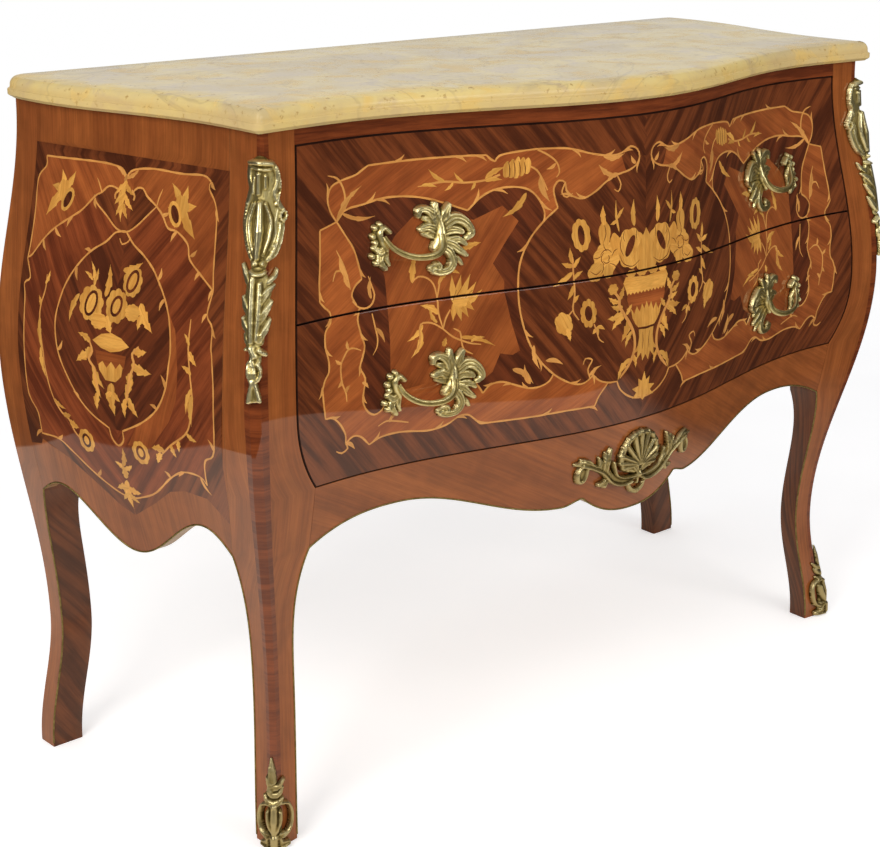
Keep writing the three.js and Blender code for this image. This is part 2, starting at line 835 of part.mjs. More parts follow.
function castLeaf() {
  const radiusAt = (turn) => {
    const scallop = 1 - leafScallopShare * (1 - Math.abs(Math.cos((leafLobes * turn) / 2)));
    const reach = leafRadius * scallop * (1 - 0.08 * Math.cos(turn));
    return [reach * 0.92 * Math.cos(turn), reach * 1.1 * Math.sin(turn)];
  };
  const riseAt = (share, turn) => {
    const vein = 0.75 + 0.25 * Math.abs(Math.cos((leafLobes * turn) / 2));
    return castRim + leafRelief * vein * Math.cos((Math.PI / 2) * share ** 1.5);
  };
  return relief(leafOffset, 0, radiusAt, riseAt, 4 * leafLobes, 3);
}

function castRosette() {
  const radiusAt = (turn) => {
    const petal = 1 - rosetteScallopShare * (1 - Math.abs(Math.cos((rosettePetals * turn) / 2)));
    const reach = rosetteRadius * petal;
    return [reach * Math.cos(turn), reach * rosetteTallShare * Math.sin(turn)];
  };
  const riseAt = (share) => castRim + rosetteRelief * Math.cos((Math.PI / 2) * share ** 2);
  return relief(rosetteOffset, 0, radiusAt, riseAt, 2 * rosettePetals, 2);
}

function castBow() {
  const steps = 10;
  const path = [];
  const radii = [];
  for (let i = 0; i <= steps; i += 1) {
    const t = i / steps;
    const arch = Math.sin(Math.PI * t);
    const rise = mix(bowEndRise, bowRise, arch ** bowFullness);
    path.push([mix(leafOffset, rosetteOffset, t), -bowDrop * arch, rise]);
    radii.push(bowRadius * (1 - bowTaperShare * arch));
  }
  return rod(path, radii, 6);
}

function pull(side, height) {
  const casting = join([castLeaf(), castRosette(), castBow()]);
  return lay(casting, (across, up, rise) => onFront(side * (pullX + across), height + up, rise), side < 0);
}

// A slotless round-head screw from inside the drawer, into the back of the pull
function pullScrew(x, z) {
  const shank = drawerFrontThickness - screwSeatDepth - screwTipGap;
  const profile = [
    [0, -screwHeadHeight], [screwHeadRadius * 0.7, -screwHeadHeight * 0.8], [screwHeadRadius, -seatGap],
    [screwRadius, -seatGap], [screwRadius, shank], [0, shank],
  ];
  const screw = new THREE.LatheGeometry(profile.map(([r, h]) => new THREE.Vector2(r, h)), 8);
  screw.rotateX(Math.PI);
  screw.translate(x, screwSeatY(x, z), z);
  return screw;
}

// Corner mounts: lofts up the corner, with width and relief as shares of their full sizes

const shellHeight = archHeight - lobeDrop + shellLift;
const knobHeight = archHeight - lobeDrop + knobLift;

const chuteShares = [
  [0, 0.3, 0.4], [0.02, 0.34, 0.6], [0.1, 0.2, 0.42], [0.16, 0.24, 0.6], [0.2, 0.16, 0.45], [0.24, 0.3, 0.5],
  [0.34, 0.44, 0.6], [0.38, 0.38, 0.6], [0.46, 0.56, 0.7], [0.5, 0.48, 0.7], [0.56, 0.66, 0.75],
  [0.585, 0.5, 0.6], [0.6, 0.8, 0.7], [0.66, 0.92, 0.9], [0.75, 1, 1], [0.8, 0.86, 1], [0.86, 0.6, 0.8],
  [0.89, 0.48, 0.6], [0.93, 0.62, 0.9], [0.97, 0.56, 1], [0.99, 0.4, 0.6], [1, 0.25, 0.3],
];
const sabotShares = [
  [0, 1, 1], [0.07, 1.03, 1], [0.14, 0.9, 0.65], [0.2, 0.96, 0.6], [0.3, 0.98, 0.7], [0.4, 0.84, 0.66],
  [0.47, 0.56, 0.5], [0.55, 0.66, 0.7], [0.62, 0.42, 0.6], [0.7, 0.52, 0.7], [0.78, 0.3, 0.6],
  [0.86, 0.34, 0.6], [0.94, 0.18, 0.5], [1, 0.06, 0.3],
];
const acrossShares = [-1, -0.78, -0.55, -0.3, 0, 0.3, 0.55, 0.78, 1];
const ribShares = [0, 0.62, 0.5, 0.92, 1, 0.92, 0.5, 0.62, 0];

function cornerMount(side, [low, high], half, depth, rowShares) {
  const place = onCorner(side);
  const sections = rowShares.map(([upShare, widthShare, riseShare]) => {
    const z = mix(low, high, upShare);
    const width = half * widthShare;
    const top = acrossShares.map((share, i) => [share * width, cornerRim + ribShares[i] * depth * riseShare]);
    const edge = Math.min(arrisAt(z) * Math.SQRT1_2, width * 0.9);
    const base = [width, edge, -edge, -width].map((across) => [across, 0]);
    return [...top, ...base].map(([across, rise]) => place(across, z, rise));
  });
  const flat = [
    ...acrossShares.map((share, i) => [share, -1 - ribShares[i]]),
    ...[1, 0.4, -0.4, -1].map((share) => [share, 0]),
  ];
  const plans = new Map(sections.flatMap((ring) => ring.map((point, i) => [point, flat[i]])));
  return loft(sections, (point) => plans.get(point), side < 0);
}

// Apron mount

const shellRibs = 9;

function apronMount() {
  const shellReach = (turn) => {
    const flute = 1 - 0.1 * (1 - Math.abs(Math.cos((shellRibs * turn) / 2)));
    return [shellRadius * flute * Math.cos(turn), shellRadius * flute * Math.sin(turn)];
  };
  const shellRise = (share, turn) => {
    const rib = 0.7 + 0.3 * Math.abs(Math.cos((shellRibs * turn) / 2));
    return castRim + shellRelief * rib * Math.cos((Math.PI / 2) * share ** 3);
  };
  const parts = [relief(0, shellHeight, shellReach, shellRise, 4 * shellRibs, 3)];
  const knobReach = (turn) => [knobRadius * Math.cos(turn), knobRadius * 1.4 * Math.sin(turn)];
  const knobRise = (share) => castRim + knobRelief * Math.cos((Math.PI / 2) * share ** 2);
  parts.push(relief(0, knobHeight, knobReach, knobRise, 12, 2));
  const stem = [[0, knobHeight, armRadius], [0, shellHeight - shellRadius / 2, armRadius]];
  parts.push(rod(stem, [armRadius * 0.8, armRadius * 0.8], 8));
  for (const side of [-1, 1]) {
    const path = [];
    const radii = [];
    const steps = 13;
    for (let i = 0; i <= steps; i += 1) {
      const t = i / steps;
      const across = mix(shellRadius / 2, armReach, t);
      const up = -armDrop * Math.sin(Math.PI * Math.min(1, t * 1.35)) + armRise * t ** 3;
      const radius = mix(armRadius, armTipRadius, t ** 2) * (1 + 0.35 * Math.sin(4 * Math.PI * t) ** 2);
      path.push([side * across, shellHeight + up, radius * 1.05]);
      radii.push(radius);
    }
    parts.push(rod(path, radii, 6));
  }
  return lay(join(parts), onFront);
}

// Materials

const finish = (color, roughness, metalness) => new THREE.MeshStandardMaterial({
  color, roughness, metalness,
});
const marble = finish('#d9cba4', 0.25, 0);
const rosewood = finish('#8a5130', 0.25, 0);
const kingwood = finish('#6b3a20', 0.22, 0);
const pine = finish('#c9a678', 0.7, 0);
const brass = finish('#c3b472', 0.35, 1);
const steel = finish('#9a9890', 0.4, 1);

const commode = new THREE.Group();

function add(name, geometry, material) {
  geometry.computeVertexNormals();
  const mesh = new THREE.Mesh(geometry, material);
  mesh.name = name;
  commode.add(mesh);
}

const sides = [['left', -1], ['right', 1]];
const bottomBoardTop = drawerLow - bottomBoardDrop;
const dividerTop = drawerSplit - dividerDrop;
const chuteHigh = caseTop - chuteDrop;

function addCornerMount(name, side, heights, half, depth, rowShares) {
  add(name, cornerMount(side, heights, half, depth, rowShares), brass);
}

add('marble_top', marbleTop(), marble);
for (const [word, side] of sides) {
  add(`front_leg_${word}`, frontLeg(side), rosewood);
  add(`rear_leg_${word}`, rearLeg(side), rosewood);
  add(`side_panel_${word}`, sidePanel(side), kingwood);
  const chuteHeights = [chuteHigh - chuteLength, chuteHigh];
  addCornerMount(`corner_mount_${word}`, side, chuteHeights, chuteHalf, chuteRelief, chuteShares);
  const sabotHeights = [sabotLow, sabotLow + sabotLength];
  addCornerMount(`foot_mount_${word}`, side, sabotHeights, sabotHalf, sabotRelief, sabotShares);
}
add('front_apron', frontApron(), rosewood);
add('apron_mount', apronMount(), brass);
add('frieze_rail', friezeRail(), rosewood);
add('back_panel', backPanel(), pine);
add('top_board', levelBoard(caseTop, railThickness + seatGap), pine);
add('divider_board', levelBoard(dividerTop, drawerFrontThickness + frontGap), pine);
add('bottom_board', levelBoard(bottomBoardTop, apronThickness + boardGap), pine);

const drawers = [
  ['upper', drawerSplit, drawerHigh, dividerTop, drawerSplit + upperPullLift],
  ['lower', drawerLow, drawerSplit, bottomBoardTop, drawerLow + lowerPullLift],
];
for (const [word, low, high, boardTop, pullHeight] of drawers) {
  const floor = low + runnerTopLift;
  const top = high - boxTopDrop;
  add(`${word}_drawer_front`, drawerFront(low, high, pullHeight), kingwood);
  add(`${word}_drawer_back`, drawerBack(floor, top), pine);
  add(`${word}_drawer_bottom`, drawerBottom(floor), pine);
  for (const [hand, side] of sides) {
    add(`${word}_drawer_side_${hand}`, drawerSide(side, floor, top), pine);
    add(`${word}_runner_${hand}`, runner(side, boardTop, floor), pine);
    add(`${word}_stop_${hand}`, drawerStop(side, boardTop), pine);
    add(`${word}_pull_${hand}`, pull(side, pullHeight), brass);
  }
  pullScrews(pullHeight).forEach(([x, z], i) => add(`${word}_pull_screw_${i + 1}`, pullScrew(x, z), steel));
}

export default commode;
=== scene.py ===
# %% [markdown]
# # Dressing a commode chest
#
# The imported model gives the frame: every piece of the chest as a plain solid, in metres, on the body
# that it moves with. This script puts the fine surfaces round that frame: veneer with marquetry,
# cast brass, marble and plain wood. The front of the chest faces -Y and +Z is up.

# %% Load the frame
import math

import bpy
import numpy as np
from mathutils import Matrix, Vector
from mathutils.geometry import delaunay_2d_cdt


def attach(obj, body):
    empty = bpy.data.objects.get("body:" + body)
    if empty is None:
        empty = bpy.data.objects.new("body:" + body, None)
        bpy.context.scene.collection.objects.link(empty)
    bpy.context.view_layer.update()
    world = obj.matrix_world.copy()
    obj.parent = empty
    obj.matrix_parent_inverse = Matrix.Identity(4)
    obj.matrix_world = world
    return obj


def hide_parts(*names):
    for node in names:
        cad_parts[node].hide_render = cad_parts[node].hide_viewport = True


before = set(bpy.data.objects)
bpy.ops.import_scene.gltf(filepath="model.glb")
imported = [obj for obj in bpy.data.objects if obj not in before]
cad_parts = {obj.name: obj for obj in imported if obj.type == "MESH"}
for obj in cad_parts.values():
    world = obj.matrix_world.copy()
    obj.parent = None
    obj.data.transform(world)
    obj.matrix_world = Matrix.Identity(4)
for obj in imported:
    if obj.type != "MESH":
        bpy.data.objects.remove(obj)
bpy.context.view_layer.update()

# %% [markdown]
# ## The form of the case
#
# The case swells towards its belly and waves in plan, so no face of it is flat. It is easiest to
# write the outer surface once, as functions, and to lay every piece of veneer and every casting on
# it. Each size is given at four heights: foot, ankle, belly and top, and eased between them.

# %% Sizes of the case
ARCH = 0.400
DRAWER_LOW, DRAWER_SPLIT, DRAWER_HIGH = 0.448, 0.638, 0.826
CASE_TOP, BELLY, ANKLE = 0.8437, 0.540, 0.175
CASE_BACK = 0.252
STATIONS = (0.0, ANKLE, BELLY, CASE_TOP)
FRONT_HALF = (0.513, 0.498, 0.543, 0.498)
REAR_HALF = (0.597, 0.571, 0.611, 0.563)
CORNER_DEPTH = (0.419, 0.400, 0.454, 0.418)
CENTRE_DEPTH = (0.478, 0.480, 0.504, 0.490)
ARRIS = (0.006, 0.006, 0.009, 0.003)
STILE = (0.058, 0.058, 0.058, 0.045)
VALLEY_DEPTH, VALLEY_SHARE = 0.010, 0.76
SIDE_WAVE, SEAT_GAP = 0.010, 0.0003
SWEEP, SWEEP_POWER = 0.023, 2.2


def ease(t):
    return (1 - np.cos(np.pi * t)) / 2


def mix(a, b, t):
    return a + (b - a) * t


def at_height(z, sizes):
    """A size of the case at a height, from its foot, ankle, belly and top values."""
    z = np.clip(np.asarray(z, float), 0, CASE_TOP)
    i = np.clip(np.searchsorted(STATIONS, z, side="left") - 1, 0, 2)
    low, high = np.take(STATIONS, i), np.take(STATIONS, i + 1)
    return mix(np.take(sizes, i), np.take(sizes, i + 1), ease((z - low) / (high - low)))


def front_y(x, z):
    """The serpentine front: full in the middle, hollow beside the corners."""
    corner, centre = at_height(z, CORNER_DEPTH), at_height(z, CENTRE_DEPTH)
    valley = corner - VALLEY_DEPTH
    t = np.abs(x) / at_height(z, FRONT_HALF)
    inner = mix(centre, valley, ease(np.clip(t / VALLEY_SHARE, 0, 1)))
    turn = (np.pi / 2) * np.clip((t - VALLEY_SHARE) / (1 - VALLEY_SHARE), 0, 1.2)
    outer = valley + VALLEY_DEPTH * (1 - np.cos(turn))
    return CASE_BACK - np.where(t < VALLEY_SHARE, inner, outer)


def corner_y(z):
    """Where the front meets the side."""
    return CASE_BACK - at_height(z, CORNER_DEPTH)


def side_x(y, z):
    """The right side, splayed towards the back in a slow wave."""
    corner = corner_y(z)
    t = (y - corner) / (CASE_BACK - corner)
    straight = mix(at_height(z, FRONT_HALF), at_height(z, REAR_HALF), t)
    return straight - SIDE_WAVE * np.sin(2 * np.pi * t)


def drawer_edge_x(z):
    """Right edge of the drawer fronts, which sweeps in below the belly."""
    drop = np.maximum(0, (BELLY - z) / (BELLY - DRAWER_LOW))
    return at_height(z, FRONT_HALF) - at_height(z, STILE) - SWEEP * drop**SWEEP_POWER


APRON_HALF = float(drawer_edge_x(DRAWER_LOW))
print(f"case {2 * REAR_HALF[2]:.3f} m wide at the belly, apron half {APRON_HALF:.3f} m")

# %% [markdown]
# ## Meshes from arrays
#
# Blender can build a mesh from a list of points and a list of faces. All pieces here come from such
# lists. Each piece also stores, for every point, its place on the flat veneer in metres, which the
# wood textures read. That way the grain follows the piece, however it bends.

# %% Build a piece
SHARP = math.radians(34)


def build_piece(name, points, faces, materials, place=None, picks=None, body="case", sharp=SHARP):
    """A smooth mesh object with its materials, veneer places and face materials, on its body."""
    mesh = bpy.data.meshes.new(name)
    mesh.from_pydata(np.asarray(points, float).tolist(), [], [list(map(int, f)) for f in faces])
    mesh.update()
    for material in materials:
        mesh.materials.append(material)
    mesh.polygons.foreach_set("use_smooth", [True] * len(mesh.polygons))
    if picks is not None:
        mesh.polygons.foreach_set("material_index", np.asarray(picks, np.int32))
    if place is not None:
        flat = np.zeros((len(points), 3), np.float32)
        flat[:, : np.shape(place)[1]] = place
        layer = mesh.attributes.new("veneer_place", "FLOAT_VECTOR", "POINT")
        layer.data.foreach_set("vector", flat.ravel())
    mesh.set_sharp_from_angle(angle=sharp)
    piece = bpy.data.objects.new(name, mesh)
    bpy.context.scene.collection.objects.link(piece)
    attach(piece, body)
    return piece


def grid_faces(rows, columns, first=0, closed=False, flip=False):
    """Quads between rows of points. A closed grid joins the last column to the first."""
    faces = []
    for i in range(rows - 1):
        for j in range(columns if closed else columns - 1):
            a, b = first + i * columns + j, first + i * columns + (j + 1) % columns
            quad = (a, b, b + columns, a + columns)
            faces.append(quad[::-1] if flip else quad)
    return faces


def loft_faces(rows, columns):
    """Faces of a closed loft: quads between its rings and a cap at either end."""
    last = (rows - 1) * columns
    caps = [tuple(range(columns))[::-1], tuple(range(last, last + columns))]
    return grid_faces(rows, columns, closed=True) + caps


# %% [markdown]
# ## Wood
#
# Veneer is a thin sheet of figured wood under a thick, polished varnish. One node group makes the
# figure: it turns the flat place by the grain angle, stretches it along the grain, and mixes two
# colours through soft stripes and fine fibres. Every wood uses the group with its own values. The
# varnish is the coat of the Principled shader, so it reflects sharply over a duller wood.

# %% Node helpers
class Nodes:
    """Short calls to add and link nodes in one tree."""

    def __init__(self, tree):
        self.tree = tree

    def fill(self, node, inputs):
        """Link each named input of a node to a socket, or set its value."""
        for key, value in inputs.items():
            if isinstance(value, bpy.types.NodeSocket):
                self.tree.links.new(value, node.inputs[key])
            else:
                node.inputs[key].default_value = value
        return node

    def add(self, kind, inputs=None, **settings):
        node = self.tree.nodes.new(kind)
        for key, value in settings.items():
            setattr(node, key, value)
        return self.fill(node, inputs or {})

    def math(self, operation, a, b=0.0):
        return self.add("ShaderNodeMath", {0: a, 1: b}, operation=operation).outputs[0]

    def times(self, a, b):
        return self.math("MULTIPLY", a, b)

    def plus(self, a, b):
        return self.math("ADD", a, b)

    def parts(self, vector):
        return self.add("ShaderNodeSeparateXYZ", {0: vector}).outputs

    def vector(self, x, y, z):
        return self.add("ShaderNodeCombineXYZ", {0: x, 1: y, 2: z}).outputs[0]

    def colour(self, red, green, blue):
        return self.add("ShaderNodeCombineColor", {0: red, 1: green, 2: blue}).outputs[0]

    def place(self):
        return self.add("ShaderNodeTexCoord").outputs["Object"]

    def attribute(self, name, output="Fac"):
        settings = {"attribute_name": name, "attribute_type": "GEOMETRY"}
        return self.add("ShaderNodeAttribute", **settings).outputs[output]

    def bump(self, height, distance, strength=1.0):
        inputs = {"Height": height, "Distance": distance, "Strength": strength}
        return self.add("ShaderNodeBump", inputs).outputs[0]

    def mix_colour(self, factor, a, b, blend="MIX"):
        inputs = {0: factor, 6: a, 7: b}
        return self.add("ShaderNodeMix", inputs, data_type="RGBA", blend_type=blend).outputs[2]

    def span(self, value, low, high, to_low=0.0, to_high=1.0):
        inputs = {"Value": value, "From Min": low, "From Max": high, "To Min": to_low, "To Max": to_high}
        return self.add("ShaderNodeMapRange", inputs, interpolation_type="SMOOTHSTEP").outputs[0]

    def noise(self, vector, scale, detail=2.0, roughness=0.5, distortion=0.0):
        inputs = {"Vector": vector, "Scale": scale, "Detail": detail}
        inputs |= {"Roughness": roughness, "Distortion": distortion}
        return self.add("ShaderNodeTexNoise", inputs).outputs["Fac"]


# %% Wood figure group
COLOUR, VALUE, VECTOR = "NodeSocketColor", "NodeSocketFloat", "NodeSocketVector"


def make_wood_figure():
    """Stripes and fibres along a grain angle, mixed between a light and a dark wood colour."""
    group = bpy.data.node_groups.new("wood_figure", "ShaderNodeTree")
    for label, kind, value in (
        ("Place", VECTOR, (0, 0, 0)),
        ("Grain Angle", VALUE, 0.0),
        ("Piece Tone", VALUE, 0.5),
        ("Stripe Width", VALUE, 0.008),
        ("Stripe Contrast", VALUE, 0.6),
        ("Light", COLOUR, (0.3, 0.12, 0.05, 1)),
        ("Dark", COLOUR, (0.1, 0.03, 0.015, 1)),
    ):
        group.interface.new_socket(name=label, in_out="INPUT", socket_type=kind).default_value = value
    for label, kind in (("Color", COLOUR), ("Fibre", VALUE)):
        group.interface.new_socket(name=label, in_out="OUTPUT", socket_type=kind)
    n = Nodes(group)
    given = n.add("NodeGroupInput").outputs
    angles = {"Vector": given["Place"], "Angle": given["Grain Angle"]}
    turned = n.add("ShaderNodeVectorRotate", angles, rotation_type="Z_AXIS").outputs[0]
    flat = n.parts(turned)
    across = n.math("DIVIDE", flat[1], given["Stripe Width"])
    along = n.math("DIVIDE", flat[0], given["Stripe Width"])
    shift = n.times(given["Piece Tone"], 37.0)
    stretched = n.vector(n.times(along, 0.07), n.plus(across, shift), shift)
    broad = n.noise(stretched, 0.55, 2.0, 0.5, 0.5)
    stripes = n.noise(stretched, 1.0, 3.0, 0.6, 0.15)
    fibre = n.noise(n.vector(n.times(along, 0.35), n.times(across, 9.0), shift), 1.0, 2.0, 0.6)
    figure = n.span(n.plus(n.times(broad, 0.5), n.times(stripes, 0.5)), 0.4, 0.6)
    wood = n.mix_colour(n.times(figure, given["Stripe Contrast"]), given["Light"], given["Dark"])
    mottle = n.span(n.noise(turned, 26.0, 3.0, 0.55, 0.5), 0.3, 0.7, -0.09, 0.09)
    lift = n.plus(n.times(given["Piece Tone"], 0.3), n.plus(mottle, 0.85))
    shade = n.times(lift, n.span(fibre, 0.3, 0.7, 0.86, 1.1))
    done = n.mix_colour(1.0, wood, n.colour(shade, shade, shade), "MULTIPLY")
    n.add("NodeGroupOutput", {"Color": done, "Fibre": fibre})
    return group


WOOD_FIGURE = make_wood_figure()
print("group", WOOD_FIGURE.name, "with", len(WOOD_FIGURE.nodes), "nodes")

# %% Veneer materials
def srgb(red, green, blue):
    """A colour as a picture editor shows it, from 0 to 255, as Blender's linear colour."""
    parts = [c / 255 for c in (red, green, blue)]
    linear = [c / 12.92 if c <= 0.04045 else ((c + 0.055) / 1.055) ** 2.4 for c in parts]
    return (*linear, 1.0)


def new_material(name):
    material = bpy.data.materials.new(name)
    material.use_nodes = True
    shader = next(x for x in material.node_tree.nodes if x.type == "BSDF_PRINCIPLED")
    return material, Nodes(material.node_tree), shader


def veneer(name, light, dark, stripe=0.008, contrast=0.6, angle=None, roughness=0.42, coat=1.0):
    """A varnished wood. Without an angle of its own it reads each inlaid piece's grain angle."""
    material, n, shader = new_material(name)
    figure = n.add("ShaderNodeGroup", node_tree=WOOD_FIGURE)
    inputs = {"Place": n.attribute("veneer_place", "Vector"), "Grain Angle": angle, "Stripe Width": stripe}
    inputs |= {"Stripe Contrast": contrast, "Light": srgb(*light), "Dark": srgb(*dark)}
    if angle is None:
        inputs |= {"Grain Angle": n.attribute("grain_angle"), "Piece Tone": n.attribute("piece_tone")}
    n.fill(figure, inputs)
    varnish = {"Coat Weight": coat, "Coat Roughness": 0.03, "Coat IOR": 1.5}
    bump = n.bump(figure.outputs["Fibre"], 0.00005)
    n.fill(shader, {"Base Color": figure.outputs["Color"], "Normal": bump, "Roughness": roughness})
    n.fill(shader, {"Specular IOR Level": 0.05, **varnish})
    return material


UPRIGHT = math.pi / 2
KINGWOOD = veneer("kingwood_border", (118, 60, 28), (60, 26, 12), 0.009, 0.8)
DARK_GROUND = veneer("dark_ground", (108, 52, 25), (62, 28, 14), 0.008, 0.8)
TULIPWOOD = veneer("tulipwood_ground", (164, 88, 40), (124, 58, 25), 0.014, 0.7)
BOXWOOD = veneer("boxwood_stringing", (212, 148, 76), (188, 120, 56), 0.004, 0.5)
BLOSSOM = veneer("blossom_inlay", (218, 158, 74), (186, 122, 48), 0.004, 0.6)
CASE_WOOD = veneer("case_veneer", (154, 86, 39), (122, 62, 26), 0.020, 0.6, UPRIGHT)
APRON_WOOD = veneer("apron_veneer", (152, 84, 38), (118, 60, 25), 0.022, 0.65, 0.5)
CORNER_WOOD = veneer("corner_banding", (128, 62, 28), (88, 38, 16), 0.006, 0.8, 0.0)
STRIPED_WOOD = veneer("striped_leg_veneer", (116, 62, 31), (66, 32, 16), 0.012, 0.75, -0.9)
# Near-black veneer for painted shade: strips at the drawer edges and the fronts' edge walls stand for the
# shade in the gaps.
GAP_SHADE_WOOD = veneer("painted_gap_shade", (46, 23, 13), (24, 12, 8), 0.006, 0.6, 0.0, 0.5, 0.1)
INSIDE_WOOD = veneer("inside_wood", (176, 132, 84), (142, 100, 60), 0.006, 0.5, 0.0, 0.6)
print("veneers made")

# %% [markdown]
# ## Legs and corner posts
#
# Each front leg and the post above it are one piece: a square cabriole leg that grows into the
# corner of the case, with a flat arris down its edge. It is a loft: one closed section at each
# height, joined to the next. A darker strip of cross-banding runs down the arris, so the section
# has points exactly at the edges of that strip.

# %% Section widths of the legs
LEG_WIDTH, SIDE_POST = 0.035, 0.058
REAR_DEPTH, REAR_POST_DEPTH = 0.030, 0.050
REAR_WIDTH, REAR_POST_X = 0.045, 0.515
FRONT_KNEE_DROP, SIDE_KNEE_DROP, REAR_KNEE_DROP = 0.028, 0.037, 0.032
FRONT_KNEE, SIDE_KNEE, REAR_KNEE = ARCH - FRONT_KNEE_DROP, ARCH - SIDE_KNEE_DROP, ARCH - REAR_KNEE_DROP
KNEE_POWER = 3.5
LEG_ROWS = 150
EDGE_ROUND, ROUND_SHARE = 0.003, 0.3
THIRDS = (0.33, 0.67)
SIDES = (("left", -1), ("right", 1))


def rise_share(z, top):
    return np.clip((z - ANKLE) / (top - ANKLE), 0, 1)


def post_inner_x(z):
    """Inner edge of the front leg and of its post, where the brass edging runs."""
    knee = float(at_height(FRONT_KNEE, FRONT_HALF)) - APRON_HALF
    leg = at_height(z, FRONT_HALF) - mix(LEG_WIDTH, knee, rise_share(z, FRONT_KNEE) ** KNEE_POWER)
    return np.where(z >= DRAWER_LOW, drawer_edge_x(z), np.where(z >= FRONT_KNEE, APRON_HALF, leg))


def post_side_width(z):
    return mix(LEG_WIDTH, SIDE_POST, rise_share(z, SIDE_KNEE) ** KNEE_POWER)


def band_half(z):
    """Half width of the dark strip down the arris."""
    return np.interp(z, (0.0, 0.36, 0.55, CASE_TOP), (0.0055, 0.0065, 0.0105, 0.006))


def rear_inner_x(z):
    bracket = float(at_height(ARCH, REAR_HALF)) - REAR_POST_X
    leg = at_height(z, REAR_HALF) - mix(REAR_WIDTH, bracket, rise_share(z, ARCH) ** (2 * KNEE_POWER))
    return np.where(z >= ARCH, REAR_POST_X, leg)


def rear_front_y(z):
    return CASE_BACK - mix(REAR_DEPTH, REAR_POST_DEPTH, rise_share(z, REAR_KNEE) ** KNEE_POWER)


# %% Front legs
def loft_leg(name, side, knee, section, materials, picks_of):
    """A leg through closed sections. section(z) gives the ring in plan as an (n, 2) array."""
    heights = np.unique(np.concatenate([np.linspace(0, CASE_TOP, LEG_ROWS), knee]))
    rings = [section(z) for z in heights]
    count = len(rings[0])
    points, place = [], []
    for ring, z in zip(rings, heights):
        run = np.cumsum(np.hypot(*np.diff(ring, axis=0, prepend=ring[:1]).T))
        points += [(side * x, y, z) for x, y in ring]
        place += [(u, z) for u in run]
    faces = loft_faces(len(rings), count)
    faces = faces if side > 0 else [f[::-1] for f in faces]
    picks = [picks_of(j) for _ in rings[1:] for j in range(count)] + [0, 0]
    print(name, len(faces), "faces")
    return build_piece(name, points, faces, materials, place, picks)


def front_leg_section(z):
    corner, flat = float(corner_y(z)), float(at_height(z, ARRIS))
    edge, back = float(at_height(z, FRONT_HALF)) - flat, corner + float(post_side_width(z))
    inner, band = float(post_inner_x(z)), float(band_half(z))
    fronts = [*np.linspace(inner, edge - band, 7), edge - band / 2, edge]
    ring = [(x, float(front_y(x, z))) for x in fronts]
    ring += [(mix(edge, edge + flat, t), mix(corner, corner + flat, t)) for t in THIRDS]
    sides = [corner + flat, corner + flat + band / 2, *np.linspace(corner + flat + band, back, 8)]
    ring += [(float(side_x(y, z)), y) for y in sides]
    ring += [(inner + EDGE_ROUND, back), (inner + EDGE_ROUND * ROUND_SHARE, back - EDGE_ROUND * ROUND_SHARE)]
    return np.array([*ring, (inner, back - EDGE_ROUND)])


BAND_COLUMNS = range(6, 13)
FRONT_LEG_WOODS = [CASE_WOOD, CORNER_WOOD, STRIPED_WOOD]


def front_leg_wood(j):
    return 1 if j in BAND_COLUMNS else 2 if j > 19 else 0


for word, side in SIDES:
    knee = [DRAWER_LOW, FRONT_KNEE]
    name = f"veneered_front_leg_{word}"
    leg = loft_leg(name, side, knee, front_leg_section, FRONT_LEG_WOODS, front_leg_wood)
    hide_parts(f"front_leg_{word}")

# %% [markdown]
# The back legs are flat behind, where the chest stands against a wall. Their inner faces carry a
# striped veneer laid at an angle, which shows under the side apron.

# %% Back legs
def rear_leg_section(z):
    front, inner = float(rear_front_y(z)), float(rear_inner_x(z))
    outer = [(float(side_x(y, z)), y) for y in np.linspace(front, CASE_BACK, 8)]
    ring = [(inner, front + EDGE_ROUND), (inner + EDGE_ROUND * ROUND_SHARE, front + EDGE_ROUND * ROUND_SHARE)]
    ring += [(inner + EDGE_ROUND, front), *[(mix(inner, outer[0][0], t), front) for t in THIRDS]]
    return np.array([*ring, *outer, (inner, CASE_BACK)])


def rear_leg_wood(j):
    return 1 if j < 5 or j > 12 else 0


for word, side in SIDES:
    knee = [ARCH, REAR_KNEE]
    name = f"veneered_rear_leg_{word}"
    leg = loft_leg(name, side, knee, rear_leg_section, [CASE_WOOD, STRIPED_WOOD], rear_leg_wood)
    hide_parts(f"rear_leg_{word}")

# %% [markdown]
# ## Apron and frieze
#
# The front apron is a curved sheet whose lower edge is a lobe, a cusp and a long arch. The frieze
# rail above the drawers is the same kind of sheet, only straight at its edges.

# %% Curved sheets
SHEET_THICK = 0.020


def front_sheet(name, xs, low, high, rows, wood):
    """A closed sheet on the front surface. low and high give its edges at each x."""
    x = np.broadcast_to(xs, (rows, len(xs)))
    z = np.broadcast_to(mix(low, high, np.linspace(0, 1, rows)[:, None]), x.shape)
    y = front_y(x, z)
    points = np.concatenate([np.stack([x, y + depth, z], -1).reshape(-1, 3) for depth in (0, SHEET_THICK)])
    columns, count = len(xs), x.size
    faces = grid_faces(rows, columns) + grid_faces(rows, columns, count, flip=True)
    loop = [*range(columns), *range(2 * columns - 1, count, columns)]
    loop += [*range(count - 2, count - columns - 1, -1), *range(count - 2 * columns, 0, -columns)]
    faces += [(a, a + count, b + count, b) for a, b in zip(loop, loop[1:] + loop[:1])]
    return build_piece(name, points, faces, [wood], points[:, (0, 2)])


LOBE_DROP, LOBE_HALF, CUSP_DROP = 0.072, 0.082, 0.043
DIP_HALF, DIP_DROP, ARCH_HALF, LOBE_POWER = 0.112, 0.050, 0.330, 2.5


